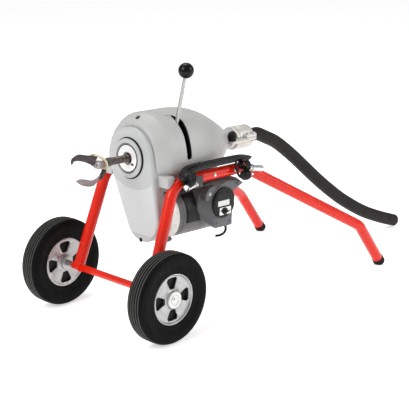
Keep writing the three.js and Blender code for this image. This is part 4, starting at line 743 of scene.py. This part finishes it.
    # ---- cord horns
    for name, p0, p1, stub in (("front", (168, -166, -56), (125, -174, -60), ((160, -168, -57), (160, -149, -51))), ("rear", (378, -169, -41), (434, -169, -52), ((384, -168, -43), (384, -152, -44)))):
        P0, P1 = Vector(p0), Vector(p1); n = 12
        line = [P0.lerp(P1, i / n) for i in range(n + 1)]
        sweep("cord_horn_skin_" + name, line, 9.2, M_ZINC, "frame", 40, reps=["cord_horn_" + name], ends=3.2)
        q0, q1 = Vector(stub[0]), Vector(stub[1])
        sweep("cord_horn_stub_" + name, [q0.lerp(q1, i / 4) for i in range(5)], 6.4, M_ZINC, "frame", 28, ends=0.8)
        d_ = (P1 - P0).normalized(); m_ = P0.lerp(P1, 0.18)
        sweep("cord_horn_collar_" + name, [m_ - d_ * 3, m_ - d_ * 2, m_, m_ + d_ * 2, m_ + d_ * 3], 10.2, M_STEEL, "frame", 36, ends=0.9)
    block("horn_bracket", (177, -155.4, -74), (211, -150.5, -40), M_BRACKET, "frame", 2.0, HEAD, [], 3)
    v, f = lathe_data([(0, -158.4), (2.4, -158.2), (3.8, -157.4), (4.6, -156.2), (4.8, -155.0), (0, -155.0)], 28, "Y", (186, -64)); mesh("horn_bracket_bolt", v, f, M_ZINC, "frame")
    # ---- power cord: several turns of cord laid over the rail, drooping over the horns
    cen = [(120, -163, -40), (126, -163, -32), (142, -161, -26), (175, -156, -21), (230, -153.3, -18), (300, -153.3, -17), (350, -154, -16), (378, -155, -16), (394, -153, -19), (400, -143.5, -21), (392, -134.5, -19), (375, -133.7, -17), (330, -133.6, -16), (260, -133.6, -16), (190, -134.5, -16), (158, -140, -18), (138, -148, -24), (128, -153, -34), (124, -156, -44)]
    rnd = random.Random(7)
    strands = [(0.0, 4.6), (4.4, 0.6), (-4.4, 0.8), (0.2, -4.2), (5.6, 5.2), (-5.8, 5.0)]
    base = catmull(cen, 9)
    Fm = frames(base)
    for k, (u, w) in enumerate(strands):
        ph = rnd.uniform(0, 6.28); amp = 0.5
        pts = []
        n = len(Fm)
        for i, (p, t, x, y) in enumerate(Fm):
            f_ = i / (n - 1)
            wob = amp * math.sin(9 * f_ + ph)
            up = Vector((0, 0, 1)); side = t.cross(up)
            side = side.normalized() if side.length > 0.2 else y
            upn = side.cross(t).normalized()
            pts.append(p + side * (u + wob) + upn * (w * 0.62 + 0.4 * math.cos(7 * f_ + ph)))
        drop = [0, 3, 5, 2, 1, 4][k]
        pts = pts[drop if k % 2 else 0: n - (k * 3) % 9]
        sweep("cord_strand_%d" % (k + 1), pts, 3.25, M_CORD, "frame", 14, reps=["power_cord"] if k == 0 else [], ends=0.9)
    # loops of cord hanging over each horn
    def hang(name, s_, y_, h_, rx, rh, lean, rr=3.1, tilt_=0.0):
        pts = []
        for i in range(41):
            a_ = 2 * math.pi * i / 40
            pts.append((s_ + lean * math.sin(a_) + tilt_ * math.cos(a_), y_ + rx * math.cos(a_), h_ + rh * math.sin(a_)))
        sweep(name, pts[:-1], rr, M_CORD, "frame", 12, closed=True)
    for k in range(4):
        hang("cord_turn_front_%d" % k, 134 + 6.8 * k, -168 + 0.6 * k, -48.5 + 2.2 * k, 13.6, 22.0 - 0.8 * k, 4.2, 3.1, 1.5)
    for k in range(3):
        hang("cord_turn_rear_%d" % k, 356.5 + 6.9 * k, -167, -29.6 - 0.4 * k, 13.8, 13.2 - 0.3 * k, -3.4, 3.1, -1.2)
    # plug with strain relief and two pins
    PC = (-173, -60)
    lathe("plug_body", [(0, 338), (4.2, 338), (5.2, 339.4), (5.2, 341.4), (6.2, 342.2), (6.2, 344.0), (7.4, 345.0), (7.6, 347.0), (10.4, 350.4), (13.2, 353.4), (13.9, 356.0), (13.9, 370.0), (13.0, 373.4), (11.0, 375.8), (0, 376)], M_BLACK, "frame", c=PC, seg=48, reps=["cord_plug"], smooth=30)
    for k in range(5):
        lathe("plug_grip_%d" % k, [(13.2, 356.4 + 2.6 * k), (14.3, 356.7 + 2.6 * k), (14.3, 357.9 + 2.6 * k), (13.2, 358.2 + 2.6 * k)], M_BLACK, "frame", c=PC, seg=40, closed=True)
    for y_, h_ in ((-177.5, -60), (-168.5, -60)):
        prism("plug_pin_%d" % int(-y_), fillet([(375.5, h_ - 3), (390, h_ - 3), (392, h_), (390, h_ + 3), (375.5, h_ + 3)], 0.6, 2, True), y_ - 0.8, y_ + 0.8, M_ZINC, "frame", "Y", bevel=0.25, seg=1)
    sweep("plug_lead", catmull([(339, -173, -60), (335.5, -171.5, -57.5), (334.5, -167, -47), (337, -159, -31), (341, -154, -18)], 8), 3.2, M_CORD, "frame", 16, ends=0.8)

def knob_data(profile, c, ribs=14, depth=0.07, seg=112):
    """domed knob with vertical ribs; profile rows are (radius, height, rib strength)"""
    V_, F_, R = [], [], []
    for r, z, k in profile:
        R.append(list(range(len(V_), len(V_) + seg)))
        for i in range(seg):
            t = 2 * math.pi * i / seg; w = abs(math.sin(ribs * t / 2)); q = r * (1 - depth * k * (1 - w ** 0.6))
            V_.append((c[0] + q * math.cos(t), c[1] + q * math.sin(t), z))
    for a, b in zip(R, R[1:]):
        for i in range(seg): F_.append([a[i], a[(i + 1) % seg], b[(i + 1) % seg], b[i]])
    F_ += [list(reversed(R[0])), R[-1]]
    return V_, F_

def scene_part_3():
    # ---- rear clamp: split aluminium casting with ears
    body = [(0, 478), (32.6, 478), (34.4, 479.2), (35, 481.4), (35, 486.0), (34.2, 487.6), (34.2, 497.0), (35, 498.6), (35, 542.0), (34.4, 546.4), (32.8, 548), (0, 548)]
    def half(name, h0, h1, node, mat=M_ALU):
        o = mesh(name, *lathe_data(body, 112, "X"), mat, "frame", HEAD, [node], 28)
        ears = tool(*prism_data(fillet([(500, -46), (548, -46), (548, 46), (500, 46)], 6, 5, True), -3, 15, "Z"))
        boolean(o, [ears], "UNION")
        if node == "clamp_lower":
            arm = tool(*prism_data(arc(438, -46, 10, 90, 270, 16) + [(503, -56), (503, -36)], -3, 5.4, "Z"))
            boolean(o, [arm], "UNION")
        big = 200
        lo, hi = ((-80, 5.5) if node == "clamp_lower" else (6.5, 80))
        keep = tool(*prism_data([(400, lo), (700, lo), (700, hi), (400, hi)], -90, 90, "Y"))
        boolean(o, [keep], "INTERSECT")
        cuts = [tool(*cyl(30.8, 400, 519.2)), tool(*cyl(20.3, 500, 600))]
        for x, y in ((510, -39.5), (536, -39.5), (510, 39.5), (536, 39.5)) + (((438, -46),) if node == "clamp_lower" else ()):
            cuts.append(tool(*lathe_data([(0, -30), (4.3, -30), (4.3, 30), (0, 30)], 24, "Z", (x, y))))
        boolean(o, cuts, smooth=28, bevel=0.9, bevel_angle=50)
        return o
    half("clamp_upper_casting", 6.5, 40, "clamp_upper")
    half("clamp_lower_casting", -40, 5.5, "clamp_lower")
    for i, (x, y) in enumerate(((510, -39.5), (536, -39.5))):
        prism("clamp_bolt_head_%d" % (i + 1), hexagon((x, y), 6.4, 0.2 + i), 15.9, 20.0, M_ZINC, "frame", "Z", bevel=0.8, seg=2, reps=["clamp_bolt_%d" % (i + 1)])
        v, f = lathe_data([(0, -9), (3.4, -9), (4.0, -8.2), (4.0, 15.2), (6.4, 15.2), (6.5, 15.9), (0, 15.9)], 36, "Z", (x, y)); mesh("clamp_bolt_shank_%d" % (i + 1), v, f, M_ZINC, "frame")
        prism("clamp_nut_%d" % (i + 1), hexagon((x, y), 6.2, 0.5), -8.0, -3.1, M_ZINC, "frame", "Z", bevel=0.7, seg=2)
    for i, (x, y) in enumerate(((510, 39.5), (536, 39.5))):     # hinge side of the clamp
        prism("clamp_far_bolt_%d" % (i + 1), hexagon((x, y), 6.2, 0.4), 15.0, 19.6, M_ZINC, "frame", "Z", bevel=0.8, seg=2)
        v, f = lathe_data([(0, -8), (4.0, -8), (4.0, 15.2), (0, 15.2)], 28, "Z", (x, y)); mesh("clamp_far_shank_%d" % (i + 1), v, f, M_ZINC, "frame")
    K = (438, -46)
    kp = [(10.4, 6.2, 0.3), (11.6, 6.4, 0.7), (12.6, 7.4, 1), (13.0, 9.0, 1), (13.0, 15.0, 1), (13.0, 21.0, 1), (12.4, 25.0, 1), (11.2, 28.6, 0.8), (9.2, 31.4, 0.45), (6.6, 33.6, 0.15), (3.6, 35.2, 0), (1.2, 35.8, 0)]
    v, f = knob_data(kp, K); mesh("clamp_knob_grip", v, f, M_BLACK, "knob", HEAD, ["clamp_knob"], 40)
    v, f = lathe_data([(0, -8.6), (3.4, -8.6), (4.0, -7.8), (4.0, 6.4), (0, 6.4)], 32, "Z", K); mesh("clamp_knob_stud", v, f, M_ZINC, "knob", HEAD)

    # ---- guide hose, open at both ends
    c3, s3 = math.cos(TILT), math.sin(TILT)
    hw = lambda s_: (s_ * c3, 0.0, 462.5 - s_ * s3)
    line = [hw(s_) for s_ in range(521, 586, 8)] + [hw(596), (637, -0.9, 412.1), (677, -2.3, 390.9), (742, -5.8, 342.1), (804, -11.7, 287.4), (859, -18.7, 237.6), (914, -25.1, 191.7), (974, -31.5, 146.6), (1070, -42, 87.5), (1152, -49, 50.3), (1228.8, -52.5, 20.8)]
    P = [Vector(p) for p in line[:8]] + catmull(line[8:], 9)
    F = frames(P); seg = 64; rings = []
    def ring_(i, r):
        p, t, x, y = F[i]; return [tuple(p + x * (r * math.cos(2 * math.pi * k / seg)) + y * (r * math.sin(2 * math.pi * k / seg))) for k in range(seg)]
    n = len(F)
    def shift(ring, i, d_): t = F[i][1]; return [tuple(Vector(q) + t * d_) for q in ring]
    out = [shift(ring_(0, 19.2), 0, 0.0), shift(ring_(0, 20.0), 0, 0.8)] + [ring_(i, 20.0) for i in range(1, n - 1)] + [shift(ring_(n - 1, 20.0), n - 1, -1.6), shift(ring_(n - 1, 19.5), n - 1, -0.4), shift(ring_(n - 1, 18.4), n - 1, 0.0), shift(ring_(n - 1, 15.6), n - 1, 0.0), shift(ring_(n - 1, 14.7), n - 1, -1.0)]
    inn = [ring_(i, 14.6) for i in range(n - 2, 0, -1)] + [shift(ring_(0, 14.7), 0, 0.0)]
    v, f = loft(out + inn, closed=True)
    mesh("guide_hose_skin", v, f, M_HOSE, "frame", WORLD, ["guide_hose"], 50)
    lathe("hose_ferrule", [(20.1, 548.3), (20.8, 548.3), (21.2, 548.9), (21.2, 550.8), (20.8, 551.4), (20.1, 551.4)], M_RUBBER, "frame", seg=64, closed=True)

    # ---- what stays from the CAD inside the casings
    inside = {"spindle_tube": M_STEEL, "drive_pulley": M_CAST, "motor_pulley": M_CAST, "drive_belt": M_BELT, "clutch_jaw_1": M_CAST, "clutch_jaw_2": M_CAST, "clutch_jaw_3": M_CAST,
              "front_bearing": M_STEEL, "rear_bearing": M_STEEL, "cam_ring": M_CAST, "thrust_ring": M_STEEL, "motor_stator": M_COPPER, "motor_rotor": M_STEEL}
    for n_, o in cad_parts.items():
        m = inside.get(n_, M_CAST)
        o.data.materials.clear(); o.data.materials.append(m)

def studio():
    bpy.ops.mesh.primitive_plane_add(size=60, location=(0, 0, -0.0005))
    floor = bpy.context.object; floor.name = "studio_floor"
    floor.data.materials.append(material("studio_floor", (0.93, 0.93, 0.93, 1), 0.75, 0.0, spread=0.002, spot=2.0, grain=0.0, rough_var=0.02, spec=0.1))
    fb = next(n for n in floor.data.materials[0].node_tree.nodes if n.type == "BSDF_PRINCIPLED")
    fb.inputs["Emission Color"].default_value = (1, 1, 1, 1); fb.inputs["Emission Strength"].default_value = 0.52
    w = bpy.data.worlds.new("studio"); bpy.context.scene.world = w; w.use_nodes = True
    nt = w.node_tree; nt.nodes.clear()
    o = nt.nodes.new("ShaderNodeOutputWorld"); b = nt.nodes.new("ShaderNodeBackground"); nt.links.new(b.outputs[0], o.inputs[0])
    tc = nt.nodes.new("ShaderNodeTexCoord"); sp = nt.nodes.new("ShaderNodeSeparateXYZ"); nt.links.new(tc.outputs["Generated"], sp.inputs[0])
    r = nt.nodes.new("ShaderNodeValToRGB"); mr = nt.nodes.new("ShaderNodeMapRange"); mr.inputs["From Min"].default_value = -0.2; mr.inputs["From Max"].default_value = 1.0
    nt.links.new(sp.outputs["Z"], mr.inputs["Value"]); nt.links.new(mr.outputs[0], r.inputs[0])
    r.color_ramp.elements[0].color = (0.80, 0.80, 0.80, 1); r.color_ramp.elements[1].color = (1.0, 1.0, 1.0, 1)
    nt.links.new(r.outputs[0], b.inputs["Color"]); b.inputs["Strength"].default_value = 0.46
    def area(name, loc, target, size, power, size_y=None):
        l = bpy.data.lights.new(name, "AREA"); l.energy = power; l.size = size; l.shape = "RECTANGLE"; l.size_y = size_y or size
        ob = bpy.data.objects.new(name, l); LINK(ob); ob.location = loc
        ob.rotation_euler = (Vector(target) - Vector(loc)).to_track_quat("-Z", "Y").to_euler()
    area("key", (-3.0, 0.4, 2.5), (-0.1, 0, 0.3), 1.8, 62)
    area("side", (1.5, -2.8, 1.9), (0.0, 0, 0.3), 2.0, 46)
    area("top", (0.2, 0.9, 3.2), (0.0, 0, 0.3), 1.8, 34)
    cam = bpy.data.cameras.new("camera"); co = bpy.data.objects.new("camera", cam); LINK(co)
    eye = Vector((-2.38917 - 0.5516, -2.70679, 1.44187)); tgt = Vector((0.3685 - 0.5516, 0, 0.2585))
    fwd = (tgt - eye).normalized(); right = fwd.cross(Vector((0, 0, 1))).normalized(); up = right.cross(fwd)
    a = math.radians(-0.51); r2 = right * math.cos(a) + up * math.sin(a); u2 = up * math.cos(a) - right * math.sin(a)
    co.matrix_world = Matrix(((r2.x, u2.x, -fwd.x, eye.x), (r2.y, u2.y, -fwd.y, eye.y), (r2.z, u2.z, -fwd.z, eye.z), (0, 0, 0, 1)))
    cam.sensor_width = 36.0; cam.lens = 1376.23 / 409 * 36.0; cam.clip_end = 100
    bpy.context.scene.camera = co
    vs = bpy.context.scene.view_settings
    vs.view_transform = "Standard"; vs.look = "None"; vs.exposure = 0.0; vs.gamma = 1.0

scene_part_1()
scene_part_2()
scene_part_3()
studio()
